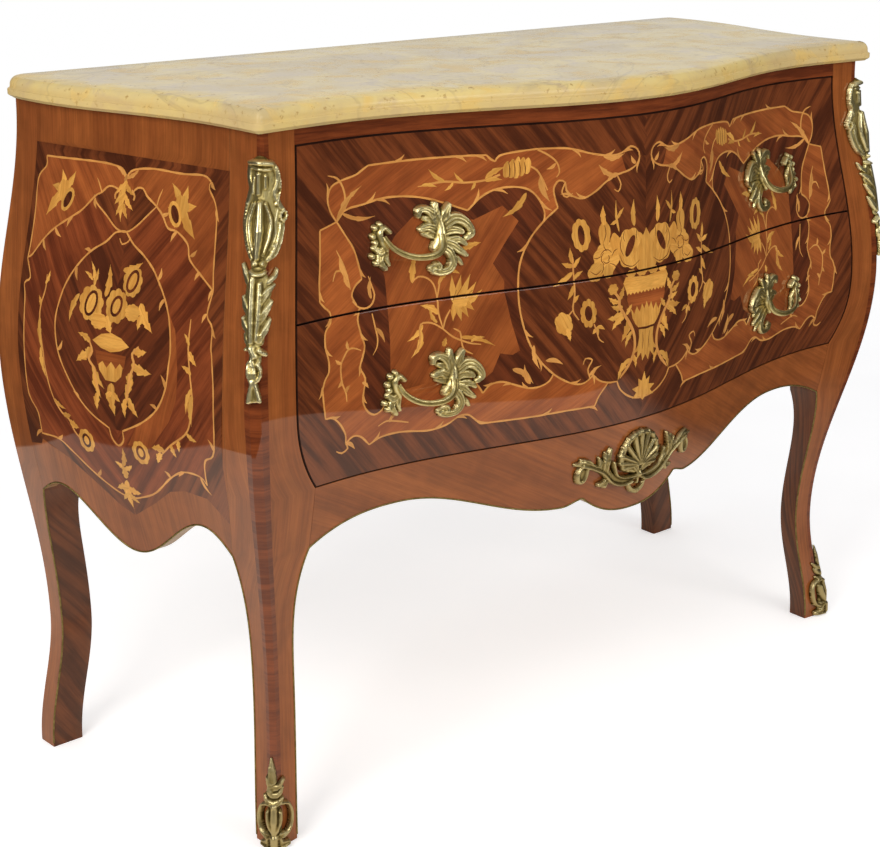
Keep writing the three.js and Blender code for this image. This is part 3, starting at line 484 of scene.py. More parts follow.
def apron_edge(x):
    """Lower edge of the apron: a lobe in the middle, a dip, a long arch and a knee."""
    a = np.abs(np.asarray(x, float))
    lobe = mix(LOBE_DROP, CUSP_DROP, np.clip(a / LOBE_HALF, 0, 1) ** LOBE_POWER)
    dip = mix(CUSP_DROP, DIP_DROP, ease(np.clip((a - LOBE_HALF) / (DIP_HALF - LOBE_HALF), 0, 1)))
    arch = mix(DIP_DROP, 0, ease(np.clip((a - DIP_HALF) / (ARCH_HALF - DIP_HALF), 0, 1)))
    knee = FRONT_KNEE_DROP * np.clip((a - ARCH_HALF) / (APRON_HALF - ARCH_HALF), 0, 1) ** LOBE_POWER
    choices = [lobe, dip, arch]
    return ARCH - np.select([a < LOBE_HALF, a < DIP_HALF, a < ARCH_HALF], choices, knee)


apron_end = APRON_HALF - SEAT_GAP
steps = ((0, LOBE_HALF, 24), (LOBE_HALF, DIP_HALF, 12), (DIP_HALF, ARCH_HALF, 40))
apron_half = [np.linspace(*step)[:-1] for step in steps] + [np.linspace(ARCH_HALF, apron_end, 24)]
apron_half = np.concatenate(apron_half)
apron_x = np.concatenate([-apron_half[:0:-1], apron_half])
apron = front_sheet("veneered_apron", apron_x, apron_edge(apron_x), DRAWER_LOW, 14, APRON_WOOD)
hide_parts("front_apron")

frieze_end = min(float(drawer_edge_x(DRAWER_HIGH)), APRON_HALF) - SEAT_GAP
frieze_x = np.linspace(-frieze_end, frieze_end, 140)
frieze = front_sheet("veneered_frieze", frieze_x, DRAWER_HIGH, CASE_TOP, 4, CORNER_WOOD)
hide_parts("frieze_rail")
print("apron and frieze made")

# %% [markdown]
# ## Marquetry
#
# Inlay is cut into the veneer and lies flush with it, so it has no thickness of its own: it is a
# change of wood along a drawn outline. Here each panel is one sheet of triangles whose edges follow
# those outlines. The outlines are drawn flat, a constrained triangulation fits triangles to them,
# each triangle takes the wood of the topmost motif over it, and the sheet is then bent onto the
# case. The outlines stay crisp at any distance, and the surface stays one smooth sheet.

# %% Draw curves and ribbons
GRAIN_LEFT, GRAIN_RIGHT = math.radians(-50), math.radians(50)


def curve(points, step=0.005):
    """A smooth line through points, given in millimetres, as metres."""
    p = np.asarray(points, float) / 1000
    if len(p) < 3:
        return p
    p = np.vstack([2 * p[0] - p[1], p, 2 * p[-1] - p[-2]])
    line = []
    for a, b, c, d in zip(p, p[1:], p[2:], p[3:]):
        count = max(2, int(math.ceil(np.linalg.norm(c - b) / step)))
        for t in np.arange(count) / count:
            bend = (2 * b + (c - a) * t + (2 * a - 5 * b + 4 * c - d) * t**2)
            line.append((bend + (3 * b - a - 3 * c + d) * t**3) / 2)
    return np.array([*line, p[-2]])


def ribbon(line, width, ends=(0.5, 0.5), swell=0.0):
    """An outline of a given width round a line, with a share of that width left at each end."""
    line = np.asarray(line, float)
    along = np.gradient(line, axis=0)
    along /= np.maximum(np.linalg.norm(along, axis=1), 1e-9)[:, None]
    normal = np.stack([-along[:, 1], along[:, 0]], 1)
    run = np.concatenate([[0], np.cumsum(np.linalg.norm(np.diff(line, axis=0), axis=1))])
    taper = max(0.35 * run[-1], 1e-6) if run[-1] < 0.05 else 0.015
    start = mix(ends[0], 1, np.clip(run / taper, 0, 1) ** 0.7)
    stop = mix(ends[1], 1, np.clip((run[-1] - run) / taper, 0, 1) ** 0.7)
    half = (width / 2) * np.minimum(start, stop) * (1 + swell * np.sin(run * 260))
    return np.vstack([line + normal * half[:, None], (line - normal * half[:, None])[::-1]])


def mirror(outline):
    return np.asarray(outline) * (-1, 1)


# %% [markdown]
# Leaves, barbs and flowers are outlines too. A leaf is a ribbon that swells and whose edges are cut
# into teeth. A flower is a ring of petals round a heart of another wood, as a marquetry cutter makes
# them with a fret saw.

# %% Leaves and flowers
def leaf(base, tip, width, bend=0.0, teeth=3, cut=0.45):
    """A pointed leaf with toothed edges from base to tip, in millimetres, bent sideways."""
    base, tip = np.asarray(base, float) / 1000, np.asarray(tip, float) / 1000
    axis = tip - base
    normal = np.array([-axis[1], axis[0]])
    t = np.linspace(0, 1, 6 * max(teeth, 1) + 3)
    line = base + axis * t[:, None] + normal * (bend * np.sin(np.pi * t))[:, None]
    body = np.sin(np.pi * np.minimum(t * 1.05, 1) ** 0.8) ** 0.8 * (1 - 0.25 * t)
    saw = 1 - cut * ((t * teeth) % 1.0) * (t < 0.97) if teeth else np.ones_like(t)
    half = width / 2000 * body * saw + 0.0002
    unit = normal / max(np.linalg.norm(normal), 1e-9)
    return np.vstack([line + unit * half[:, None], (line - unit * half[:, None])[::-1]])


def petals(centre, across, up, count, depth=0.16, turn=0.0, tilt=0.0, steps=6):
    """A scalloped ring of petals, in millimetres. tilt turns the whole flower."""
    a = np.linspace(0, 2 * np.pi, count * steps, endpoint=False)
    reach = 1 - depth * (1 - np.abs(np.cos(count * (a - turn) / 2)) ** 0.7)
    x, y = across * reach * np.cos(a), up * reach * np.sin(a)
    c, s = math.cos(tilt), math.sin(tilt)
    return (np.stack([x * c - y * s, x * s + y * c], 1) + centre) / 1000


def oval(centre, across, up, tilt=0.0):
    return petals(centre, across, up, 1, 0.0, 0.0, tilt, 18)


class Inlay:
    """The cut pieces of one panel, in the order in which they cover each other."""

    def __init__(self, paired):
        self.cuts = []
        self.count = 0
        self.draw = self.both if paired else self.cut

    def cut(self, outline, wood, angle=None, tone=None):
        """A piece of wood over what lies below. Without an angle, the grain follows the piece."""
        outline = np.asarray(outline, float)
        if angle is None:
            x, z = (outline - outline.mean(0)).T
            angle = 0.5 * math.atan2(2 * (x * z).sum(), (x**2 - z**2).sum())
        self.count += 1
        tone = (self.count * 0.618) % 1.0 if tone is None else tone
        self.cuts.append((outline, wood, -angle, tone))

    def both(self, outline, wood, angle=None, tone=None):
        """The same piece on the left and, mirrored, on the right."""
        self.cut(outline, wood, angle, tone)
        self.cut(mirror(outline)[::-1], wood, None if angle is None else -angle, tone)

    def line(self, points, width=2.2, ends=(0.5, 0.5), swell=0.0):
        """A line of stringing through points given in millimetres."""
        self.draw(ribbon(curve(points), width / 1000, ends, swell), STRING, None, LINE_TONE)

    def leaves(self, rows, wood=None, bend=0.08, teeth=3, cut=0.45, wide=1.0):
        """Leaves from rows of the base's place, the tip's place, the width and perhaps a bend."""
        for x, z, tip_x, tip_z, width, *own in rows:
            outline = leaf((x, z), (tip_x, tip_z), width * wide, *(own or [bend]), teeth, cut)
            self.draw(outline, FLOWER if wood is None else wood)


LINE_TONE = 0.55
GROUND, DARK, BAND, STRING, FLOWER, INSIDE = range(6)
INLAY_WOODS = [KINGWOOD, DARK_GROUND, TULIPWOOD, BOXWOOD, BLOSSOM, INSIDE_WOOD]

# %% [markdown]
# The panel builder below does the fitting. The triangulation takes the panel's edge, all outlines
# and a grid of points that keeps the triangles small enough to bend. The winding number of each
# triangle's middle says which outlines it lies in.

# %% Fit triangles to the outlines
def inside_of(outline, points):
    """Which points lie inside a closed outline, by their winding number."""
    low, high = outline.min(0), outline.max(0)
    near = np.flatnonzero(((points >= low) & (points <= high)).all(1))
    result = np.zeros(len(points), bool)
    if not len(near):
        return result
    p = points[near]
    a, b = outline, np.roll(outline, -1, axis=0)
    turns = np.zeros(len(near), int)
    for (ax, ay), (bx, by) in zip(a, b):
        left = (bx - ax) * (p[:, 1] - ay) - (p[:, 0] - ax) * (by - ay)
        turns += (ay <= p[:, 1]) & (by > p[:, 1]) & (left > 0)
        turns -= (ay > p[:, 1]) & (by <= p[:, 1]) & (left < 0)
    result[near] = turns != 0
    return result


def triangulate(edge, loops, spacing):
    """Triangles inside edge that follow every loop. The points of edge stay the first ones."""
    points, edges = [], []
    for loop in (edge, *loops):
        first, count = len(points), len(loop)
        points += [Vector(p) for p in np.asarray(loop, float).tolist()]
        edges += [(first + i, first + (i + 1) % count) for i in range(count)]
    low, high = edge.min(0), edge.max(0)
    xs = np.arange(low[0] + spacing / 2, high[0], spacing)
    ys = np.arange(low[1] + spacing / 2, high[1], spacing)
    grid = np.array([(x + (j % 2) * spacing / 2, y) for j, y in enumerate(ys) for x in xs])
    grid = grid[inside_of(edge, grid)]
    points += [Vector(p) for p in grid.tolist()]
    found, _, faces, *_ = delaunay_2d_cdt(points, edges, [], 0, 1e-6, False)
    found, faces = np.array([tuple(p) for p in found]), np.array([tuple(f) for f in faces])
    return found, faces[inside_of(edge, found[faces].mean(1))]


def open_edges(faces):
    """The edges that only one face of an array has, in the face's own direction."""
    sides = faces.shape[1]
    edges = np.concatenate([faces[:, (i, (i + 1) % sides)] for i in range(sides)])
    known = set(map(tuple, edges.tolist()))
    return [e for e in known if e[::-1] not in known]


def rim_of(faces):
    """The points along the border of a sheet of triangles, in order."""
    follow = dict(open_edges(faces))
    start, step = follow.popitem()
    rim = [start]
    while step != start:
        rim.append(step)
        step = follow[step]
    return rim


# %% Bend a panel onto the case
def surface_normals(drape, points, step=0.0005):
    """Outward unit normals of a draped surface, from small steps on it."""
    du = drape(points + (step, 0), 0) - drape(points - (step, 0), 0)
    dv = drape(points + (0, step), 0) - drape(points - (0, step), 0)
    normals = np.cross(du, dv)
    return normals / np.linalg.norm(normals, axis=1)[:, None]


SPACING = 0.011


def inlaid_panel(name, edge, inlay, drape, thickness, materials, flip=False, body="case", wall=INSIDE):
    """A closed veneered sheet. drape(flat points, depth) gives where a point lies on the case."""
    low, high = edge.min(0), edge.max(0)
    cuts = [c for c in inlay.cuts if (c[0].max(0) > low).all() and (c[0].min(0) < high).all()]
    flat, faces = triangulate(edge, [c[0] for c in cuts], SPACING)
    middles = flat[faces].mean(1)
    woods = np.full(len(faces), GROUND)
    angles = np.where(middles[:, 0] < 0, -GRAIN_LEFT, -GRAIN_RIGHT)
    tones = np.full(len(faces), 0.5)
    for outline, wood, angle, tone in cuts:
        if wood is not None:
            held = inside_of(outline, middles)
            woods[held], angles[held], tones[held] = wood, angle, tone
    used = np.unique(faces)
    renumber = np.zeros(len(flat), int)
    renumber[used] = np.arange(len(used))
    flat, faces = flat[used], renumber[faces]
    rim = rim_of(faces)
    back_flat, back_faces = triangulate(flat[rim], [], 3 * SPACING)
    points = np.concatenate([drape(flat, 0.0), drape(back_flat, thickness)])
    back_rim = len(flat) + np.arange(len(rim))
    walls = list(zip(np.roll(rim, -1), rim, back_rim, np.roll(back_rim, -1)))
    shown, hidden = faces, back_faces[:, ::-1] + len(flat)
    if flip:
        shown, hidden, walls = shown[:, ::-1], hidden[:, ::-1], [w[::-1] for w in walls]
    all_faces = [*shown.tolist(), *hidden.tolist(), *walls]
    rest = len(all_faces) - len(faces)
    picks = np.concatenate([woods, np.full(len(hidden), INSIDE), np.full(len(walls), wall)])
    place = np.concatenate([flat, back_flat])
    piece = build_piece(name, points, all_faces, materials, place, picks, body)
    mesh = piece.data
    for key, values in (("grain_angle", angles), ("piece_tone", tones)):
        layer = mesh.attributes.new(key, "FLOAT", "FACE")
        layer.data.foreach_set("value", np.concatenate([values, np.zeros(rest)]).astype(np.float32))
    normals = surface_normals(drape, flat) * (-1 if flip else 1)
    loops = np.zeros((len(mesh.loops), 3))
    loops[: shown.size] = normals[shown.ravel()]
    mesh.normals_split_custom_set(loops.tolist())
    print(f"{name}: {len(faces)} triangles, {len(cuts)} cut pieces")
    return piece

# %% [markdown]
# ## The drawer fronts
#
# One design runs over both drawers and is cut at the joint between them. Its left half is drawn in
# millimetres from the middle of the front and from the floor, and mirrored. First come the large
# fields: a band of tulipwood inside the striped border, a dark compartment behind each pull, and an
# oval in the middle.

# %% Outlines of the fields
TOP_LINE = [
    [(-404, 738), (-411, 750), (-413, 764), (-406, 776), (-392, 781)],
    [(-392, 781), (-380, 783), (-371, 785), (-363, 789), (-355, 793)],
    [(-355, 793), (-300, 794), (-250, 794), (-211, 793)],
    [(-211, 793), (-206, 788), (-201, 785)],
    [(-201, 785), (-196, 791), (-180, 794), (-150, 796)],
]
SCROLL_LINE = [
    [(-150, 796), (-113, 794), (-79, 785), (-52, 781), (-38, 783), (-25, 789), (-14, 785)]
    + [(-10, 776), (-15, 767), (-28, 761), (-46, 758), (-62, 751), (-76, 742), (-93, 735)]
    + [(-107, 738), (-116, 746), (-117, 755), (-125, 758), (-132, 750), (-131, 738), (-128, 727)],
    [(-128, 727), (-147, 713), (-166, 694), (-180, 669), (-185, 641), (-184, 610), (-176, 579)]
    + [(-162, 553), (-141, 531), (-119, 517), (-101, 512), (-88, 517), (-81, 526)],
    [(-84, 521), (-74, 512), (-60, 507), (-46, 506)],
    [(-46, 506), (-41, 496), (-30, 486), (-15, 479), (0, 477)],
]
LEFT_LINE = [
    [(-404, 738), (-428, 732)],
    [(-428, 732), (-433, 700), (-438, 675), (-440, 657)],
    [(-440, 657), (-434, 650), (-428, 644), (-429, 633), (-437, 624), (-439, 608), (-436, 592)]
    + [(-437, 580), (-443, 572), (-447, 562)],
    [(-447, 562), (-446, 545), (-444, 528)],
    [(-444, 528), (-434, 527), (-424, 518), (-416, 504), (-415, 493)],
]
BOTTOM_LINE = [
    [(-415, 493), (-405, 499), (-394, 496), (-382, 484)],
    [(-382, 484), (-366, 490), (-340, 491), (-303, 486), (-280, 489), (-264, 497), (-252, 497)]
    + [(-243, 490), (-235, 483)],
    [(-235, 483), (-170, 481), (-120, 481), (-79, 480)],
    [(-79, 480), (-73, 492), (-61, 506)],
]
INNER_TOP = [
    [(-404, 738), (-398, 745), (-386, 750), (-367, 752), (-340, 756), (-310, 755), (-284, 750)]
    + [(-261, 742), (-238, 733)],
    [(-238, 733), (-220, 747), (-202, 754), (-180, 755), (-162, 750), (-150, 737), (-145, 722), (-147, 713)],
]
INNER_BOTTOM = [
    [(-141, 531), (-146, 523), (-158, 518), (-173, 518), (-190, 524), (-208, 531), (-224, 530), (-234, 521)],
    [(-234, 521), (-240, 530), (-247, 538)],
]
INNER_LEFT = [
    [(-404, 738), (-395, 723), (-386, 707), (-382, 690), (-380, 673)],
    [(-380, 673), (-390, 667), (-396, 657), (-391, 646)],
    [(-388, 640), (-392, 630), (-389, 612), (-386, 600), (-390, 588), (-394, 577), (-388, 564)]
    + [(-390, 552), (-392, 538), (-386, 525), (-376, 519), (-366, 523), (-360, 530)],
]


def joined(strokes):
    """One line, in metres, from strokes that follow each other, without doubled points."""
    line = np.vstack([curve(s) for s in strokes])
    moves = np.linalg.norm(np.diff(line, axis=0), axis=1) > 1e-6
    return line[np.concatenate([[True], moves])]


def reverse_strokes(strokes):
    return np.vstack([curve(s)[::-1] for s in strokes[::-1]])


front = Inlay(paired=True)
outer = [joined(TOP_LINE), curve(SCROLL_LINE[0][:8]), [(-0.001, 0.776), (-0.001, 0.506)]]
outer += [reverse_strokes(BOTTOM_LINE), reverse_strokes(LEFT_LINE)]
front.both(np.vstack(outer), BAND, 0.5)
compartment = [joined(INNER_TOP), curve(SCROLL_LINE[1][1:9]), joined(INNER_BOTTOM)]
compartment += [curve([(-247, 538), (-300, 548), (-340, 545), (-360, 530)]), reverse_strokes(INNER_LEFT)]
front.both(np.vstack(compartment), DARK, -0.9, 0.4)
RESERVE = [(-300, 736), (-232, 722), (-196, 735), (-178, 716), (-196, 694), (-214, 671), (-202, 650)]
RESERVE += [(-203, 638), (-196, 600), (-186, 566), (-196, 562), (-212, 566), (-222, 545), (-240, 534)]
RESERVE += [(-300, 545), (-341, 541), (-354, 562), (-352, 600), (-351, 640), (-350, 668), (-352, 690)]
front.both(np.array([*RESERVE, (-330, 714)]) / 1000, BAND, 0.9, 0.05)
eye = [(-40, 783), (-25, 789), (-14, 785), (-10, 776), (-15, 767), (-30, 761), (-36, 772)]
front.both(curve(eye), GROUND, GRAIN_LEFT)
oval_half = np.vstack([curve(SCROLL_LINE[0][7:]), joined(SCROLL_LINE[1:])])
front.cut(np.vstack([oval_half, mirror(oval_half)[::-1]]), GROUND, GRAIN_LEFT)
right_oval = np.vstack([[(0.0, 0.776), (0.0, 0.477)], mirror(oval_half)[::-1]])
front.cut(right_oval, GROUND, GRAIN_RIGHT)
print("fields drawn:", front.count)

# %% [markdown]
# Thin lines of boxwood edge the fields. Small barbs grow from them, as on the real lines, so they
# read as stems. The lines are drawn with the same strokes as the fields.

# %% Stringing with barbs
def sprouts(strokes, shares, length=12, lean=0.6, width=3.4):
    """Small leaves along strokes. A share's sign says on which side of the line it grows."""
    line = joined(strokes) * 1000
    run = np.concatenate([[0], np.cumsum(np.linalg.norm(np.diff(line, axis=0), axis=1))])
    for share in shares:
        at = min(np.searchsorted(run, abs(share) * run[-1]), len(line) - 2)
        along = line[at + 1] - line[at]
        angle = math.atan2(along[1], along[0]) + math.copysign(lean, share)
        tip = line[at] + length * np.array([math.cos(angle), math.sin(angle)])
        base = line[at] - 0.3 * length * along / np.linalg.norm(along)
        front.both(leaf(base, tip, width, math.copysign(0.12, -share), 0), STRING, None, 0.6)


for strokes in (TOP_LINE, SCROLL_LINE, LEFT_LINE, BOTTOM_LINE, INNER_TOP, INNER_BOTTOM, INNER_LEFT):
    for stroke in strokes:
        front.line(stroke, 2.3, (0.8, 0.8), 0.12)
sprouts(TOP_LINE, (0.42, -0.66, -0.74, 0.1))
sprouts(SCROLL_LINE, (-0.06, 0.12, -0.16, 0.21, -0.33, 0.36, -0.52, 0.66, -0.72, 0.8, -0.86), 13)
sprouts(LEFT_LINE, (0.3, -0.42, 0.55, -0.7, 0.86), 11)
sprouts(BOTTOM_LINE, (0.12, 0.34, -0.42, 0.5, 0.72, -0.9), 12)
sprouts(INNER_TOP, (0.16, -0.2, 0.62, -0.72, 0.93), 15)
sprouts(INNER_BOTTOM, (-0.3, 0.5, -0.72), 10)
sprouts(INNER_LEFT, (0.22, -0.4, 0.52, -0.66, 0.8), 10)

# %% Scrolls at the corners of the band
front.line([(-404, 738), (-394, 748), (-389, 760), (-391, 774), (-398, 784), (-410, 788)], 2.6, (0.8, 0.3))
front.leaves([(-404, 738, -366, 772, 9)], STRING, 0.08, 3, 0.5)
front.leaves([(-396, 746, -352, 738, 6)], STRING, -0.1, 2, 0.4)
front.line([(-371, 675), (-368, 663), (-366, 654), (-370, 645), (-378, 641), (-388, 643), (-396, 651)], 2.2)
front.line([(-372, 634), (-370, 620), (-368, 606), (-370, 596), (-376, 588)], 2.0, (0.8, 0.3))
front.leaves([(-370, 618, -359, 600, 5)], STRING, 0.1, 0)
front.line([(-415, 493), (-412, 486), (-420, 482), (-428, 486)], 2.4, (0.9, 0.4))
front.leaves([(-415, 494, -402, 483, 5)], STRING, 0.1, 0)
front.line([(-117, 755), (-122, 744), (-116, 738), (-108, 742)], 2.0, (0.9, 0.4))
front.line([(-46, 758), (-40, 746), (-44, 738), (-50, 741)], 2.0, (0.9, 0.5))
front.leaves([(-50, 757, -72, 772, 8)], STRING, 0.1, 2, 0.4)
front.leaves([(-66, 782, -34, 782, 8)], STRING, -0.14)
front.leaves([(-60, 752, -38, 758, 7)], STRING, 0.12, 2, 0.4)
front.leaves([(-16, 768, -24, 778, 5)], STRING, 0.1, 0)
front.line([(-88, 517), (-92, 529), (-86, 540), (-96, 543), (-99, 536)], 2.2, (0.9, 0.5))
front.leaves([(-90, 520, -72, 531, 5)], STRING, 0.1, 2, 0.4)
front.leaves([(-152, 549, -128, 541, 6)], STRING, 0.1, 0)
front.leaves([(-168, 570, -160, 540, 7)], STRING, -0.1, 2, 0.4)

# %% [markdown]
# The sprays are stems with leaves and blossoms. A blossom seen from the side is a fan of petals;
# thin dark cuts between them are the saw lines that a marquetry cutter leaves to draw inside a piece.

# %% Sprays in the band and behind the pulls
def fan_blossom(base, tip, width, count=5):
    """A blossom from the side: petals side by side from base to tip, in millimetres."""
    base, tip = np.asarray(base, float), np.asarray(tip, float)
    axis = tip - base
    normal = np.array([-axis[1], axis[0]]) / np.linalg.norm(axis)
    for i in range(count):
        t = (i + 0.5) / count - 0.5
        reach = 1 - 0.55 * abs(t) * 2 * 0.6
        end = base + axis * reach + normal * width * t * 1.5
        start = base + normal * width * t * 0.35
        wide = 1.35 * width / count
        front.both(leaf(start, end, wide, 0.06 * t, 2, 0.3), FLOWER)


def saw_cut(points, width=1.0):
    front.both(ribbon(curve(points), width / 1000, (0.4, 0.4)), DARK, None, 0.2)


front.line([(-295, 764), (-264, 767), (-237, 764), (-214, 765), (-196, 770)], 2.4, (0.3, 1))
front.leaves([
    (-262, 767, -280, 782, 6), (-240, 765, -250, 776, 4), (-252, 765, -263, 757, 4),
    (-226, 764, -232, 755, 4), (-214, 766, -190, 778, 8), (-214, 764, -194, 764, 6),
    (-290, 765, -272, 762, 5),
], FLOWER, 0.08, 2, 0.35)
for i in range(5):
    x, tall = -188 + 6.2 * i, 13 - 1.6 * abs(i - 2)
    front.both(petals((x, 775 + 0.6 * i), 4.6, tall, 5, 0.12, 0.4, -0.2, 4), FLOWER)
    if i:
        saw_cut([(x - 3.3, 775 - 0.75 * tall), (x - 2.4, 776), (x - 3.6, 775 + 0.75 * tall)], 1.1)
front.line([(-160, 777), (-152, 772), (-145, 760), (-140, 748)], 2.2, (0.9, 0.8))
front.leaves([(-148, 765, -138, 735, 8)], STRING, -0.1, 0)
front.line([(-150, 795), (-137, 788), (-127, 779), (-124, 768), (-128, 762)], 2.2, (0.9, 0.5))
front.leaves([(-128, 778, -140, 772, 4)], STRING, 0.1, 0)
front.leaves([(-166, 747, -197, 722, 9)], FLOWER, 0.1, 3, 0.4)

# %% Spray between the pulls
front.leaves([
    (-316, 660, -307, 692, 10, 0.05), (-284, 655, -258, 674, 7, 0.1), (-287, 622, -309, 634, 10, -0.1),
    (-290, 612, -298, 630, 6, 0.1), (-262, 592, -218, 576, 7, 0.06), (-249, 585, -231, 588, 5, 0.1),
    (-311, 606, -326, 577, 9, 0.15), (-308, 612, -330, 596, 7, 0.1), (-284, 584, -280, 594, 8, 0.0),
    (-250, 690, -226, 696, 9, 0.05), (-268, 668, -256, 664, 5, 0.1),
], FLOWER, cut=0.42)
for points in (
    [(-316, 661), (-308, 666), (-298, 664), (-290, 656), (-287, 640), (-287, 622), (-283, 604)],
    [(-283, 604), (-272, 594), (-261, 588), (-249, 583), (-236, 580)],
    [(-283, 604), (-293, 611), (-302, 614), (-311, 613), (-313, 604), (-314, 592), (-321, 580)],
    [(-283, 604), (-279, 615), (-272, 625)],
    [(-287, 640), (-282, 656), (-278, 666)],
    [(-261, 588), (-262, 598), (-270, 603)],
    [(-261, 588), (-258, 577), (-247, 570)],
):
    front.line(points, 2.1, (0.8, 0.5))
fan_blossom((-262, 628), (-243, 662), 34, 5)
fan_blossom((-262, 634), (-254, 610), 26, 4)
front.both(petals((-258, 634), 10, 9, 7, 0.2), FLOWER)
for points in ([(-262, 640), (-252, 652)], [(-268, 634), (-262, 646)], [(-252, 636), (-242, 644)]):
    saw_cut(points, 1.2)

# %% Sprigs down the side of the band
for points in (
    [(-409, 708), (-403, 694), (-399, 680), (-397, 664)],
    [(-419, 676), (-413, 686), (-404, 684), (-399, 676)],
    [(-391, 596), (-400, 600), (-408, 600), (-414, 594), (-420, 584), (-420, 566), (-415, 552), (-414, 542)],
    [(-371, 504), (-360, 508), (-348, 506), (-330, 501)],
):
    front.line(points, 2.2, (0.4, 0.6))
front.leaves([
    (-398, 676, -406, 702, 8), (-397, 666, -403, 684, 6), (-371, 650, -368, 674, 6),
    (-408, 600, -409, 610, 5), (-419, 568, -426, 560, 5), (-419, 586, -427, 592, 5),
    (-415, 553, -409, 560, 5), (-356, 506, -347, 516, 5), (-196, 545, -168, 523, 9),
    (-172, 523, -180, 548, 8), (-392, 560, -384, 552, 5),
], STRING, 0.1, 2, 0.35)

# %% [markdown]
# The vase in the oval stands on the lower drawer and its bouquet on the upper one: a scalloped rim,
# a reddish body, a cup with a flame edge, a foot of pointed leaves, and a branch on either side.

# %% Vase
def whole(right_half, wood, angle, tone=None):
    """A piece over the middle line, from the right half of its outline in millimetres."""
    half = np.asarray(right_half, float)
    front.cut(np.vstack([half, mirror(half)[::-1]]) / 1000, wood, angle, tone)


whole([(0, 616), (32, 616), (33, 606), (30, 597), (25, 588), (0, 584)], BAND, 0.0, 0.6)
rim_teeth = [(x, 614 - 3 * (i % 2)) for i, x in enumerate(np.linspace(0, 33, 12))]
whole([(0, 631), (35, 634), (39, 627), (34, 616), *rim_teeth[::-1]], FLOWER, 0.0)
flame = [(0, 600), (4, 591), (8, 598), (12, 588), (17, 596), (21, 587), (27, 595)]
whole([*flame, (24, 582), (19, 574), (14, 569), (0, 568)], FLOWER, UPRIGHT)
foot = [(0, 566), (13, 566), (12, 556), (14, 546), (20, 537), (14, 539), (15, 528), (8, 536), (5, 525)]
whole([*foot, (0, 533)], FLOWER, UPRIGHT)
front.cut(ribbon(curve([(-15, 568), (0, 566), (15, 568)]), 0.0018), DARK, None, 0.2)
saw_cut([(-6, 562), (-5, 550), (-6, 540)], 1.0)
palm = [(0, 511), (4, 499), (10, 503), (9, 493), (20, 491), (12, 485), (19, 478), (6, 479), (0, 473)]
whole(palm, FLOWER, UPRIGHT)
for x, z, wide, tall in ((-26, 637, 8, 5), (-8, 637, 9, 5), (12, 637, 9, 5), (29, 636, 7, 4)):
    front.cut(petals((x, z), wide, tall, 6, 0.2), FLOWER)

# %% Branches beside the vase
front.leaves([
    (-38, 592, -64, 587, 13, 0.1), (-38, 586, -57, 572, 11, -0.1), (-40, 598, -58, 602, 10, 0.1),
    (-30, 582, -42, 555, 13, 0.08), (-34, 588, -25, 600, 8, 0.0), (-46, 605, -62, 613, 9, 0.1),
    (-44, 608, -38, 624, 9, 0.0), (-24, 566, -35, 547, 9, -0.1), (-26, 532, -45, 506, 11, -0.14),
    (-22, 536, -16, 518, 8, 0.1), (-52, 615, -50, 628, 7, 0.1),
], FLOWER, cut=0.5)
branch = [(-55, 620), (-46, 610), (-45, 600), (-37, 588), (-27, 574), (-20, 558), (-20, 540), (-28, 524)]
front.line([*branch, (-42, 509)], 4.2, (0.5, 0.3))
front.both(petals((-55, 622), 8, 7, 6, 0.2), FLOWER)

# %% Bouquet over the vase
for x, z, across, up, tilt, count in (
    (-26, 668, 24, 25, 0.3, 9),
    (-64, 661, 20, 19, 0.2, 8),
    (-80, 646, 13, 11, 0.6, 6),
    (-99, 692, 13, 20, 0.1, 9),
    (-66, 690, 9, 16, 0.0, 5),
    (-50, 676, 8, 14, 0.2, 5),
    (-62, 645, 8, 9, 0.0, 5),
):
    front.both(petals((x, z), across, up, count, 0.13, 0.3, tilt, 6), FLOWER)
whole([(0, 690), (9, 676), (22, 656), (16, 642), (0, 636)], FLOWER, UPRIGHT)
front.both(oval((-27, 671), 5.5, 14, -0.5), DARK, GRAIN_LEFT, 0.3)
saw_cut([(-44, 662), (-38, 651), (-24, 646), (-12, 652)], 1.1)
saw_cut([(-40, 684), (-43, 672), (-38, 660)], 1.0)
front.both(oval((-99, 692), 4.5, 12, 0.1), DARK, GRAIN_LEFT, 0.3)
ROSE = (-64, 661)


def rose_cut(start, steps, width):
    """A saw cut in the rose through (turn, reach) steps from a starting angle."""
    saw_cut([(ROSE[0] + r * math.cos(start + k), ROSE[1] + r * math.sin(start + k)) for k, r in steps], width)


for turn in range(4):
    rose_cut(0.6 + turn * 1.5, [(k, 10 - 2 * turn) for k in (0, 0.7, 1.4, 2.1)], 1.1)
for turn in range(5):
    rose_cut(0.2 + turn * 1.26, ((0, 8), (0.35, 14), (0.3, 19)), 1.0)
for x in (-36, -16):
    saw_cut([(x, 690), (x * 1.06, 683), (x * 0.98, 677)], 0.9)
saw_cut([(-88, 648), (-80, 643), (-72, 648)], 1.0)
saw_cut([(-66, 702), (-64, 690), (-68, 680)], 1.0)
front.leaves([
    (-66, 700, -67, 724, 9), (-20, 694, -20, 726, 9), (-44, 690, -48, 728, 4), (-46, 706, -36, 718, 5),
    (-47, 704, -57, 700, 5), (-112, 660, -115, 679, 7), (-112, 657, -127, 662, 7),
    (-113, 650, -140, 636, 8), (-111, 655, -101, 667, 6), (-112, 642, -99, 650, 6),
    (-112, 634, -121, 618, 7), (-113, 614, -105, 622, 6),
], FLOWER, 0.05, 2, 0.3)
front.line([(-112, 668), (-112, 650), (-111, 625), (-114, 605), (-106, 592)], 2.2, (0.7, 0.7))
front.line([(-114, 605), (-122, 598), (-128, 594)], 2.0)
front.both(petals((-92, 598), 12, 18, 9, 0.14, 0.0, 0.1), FLOWER)
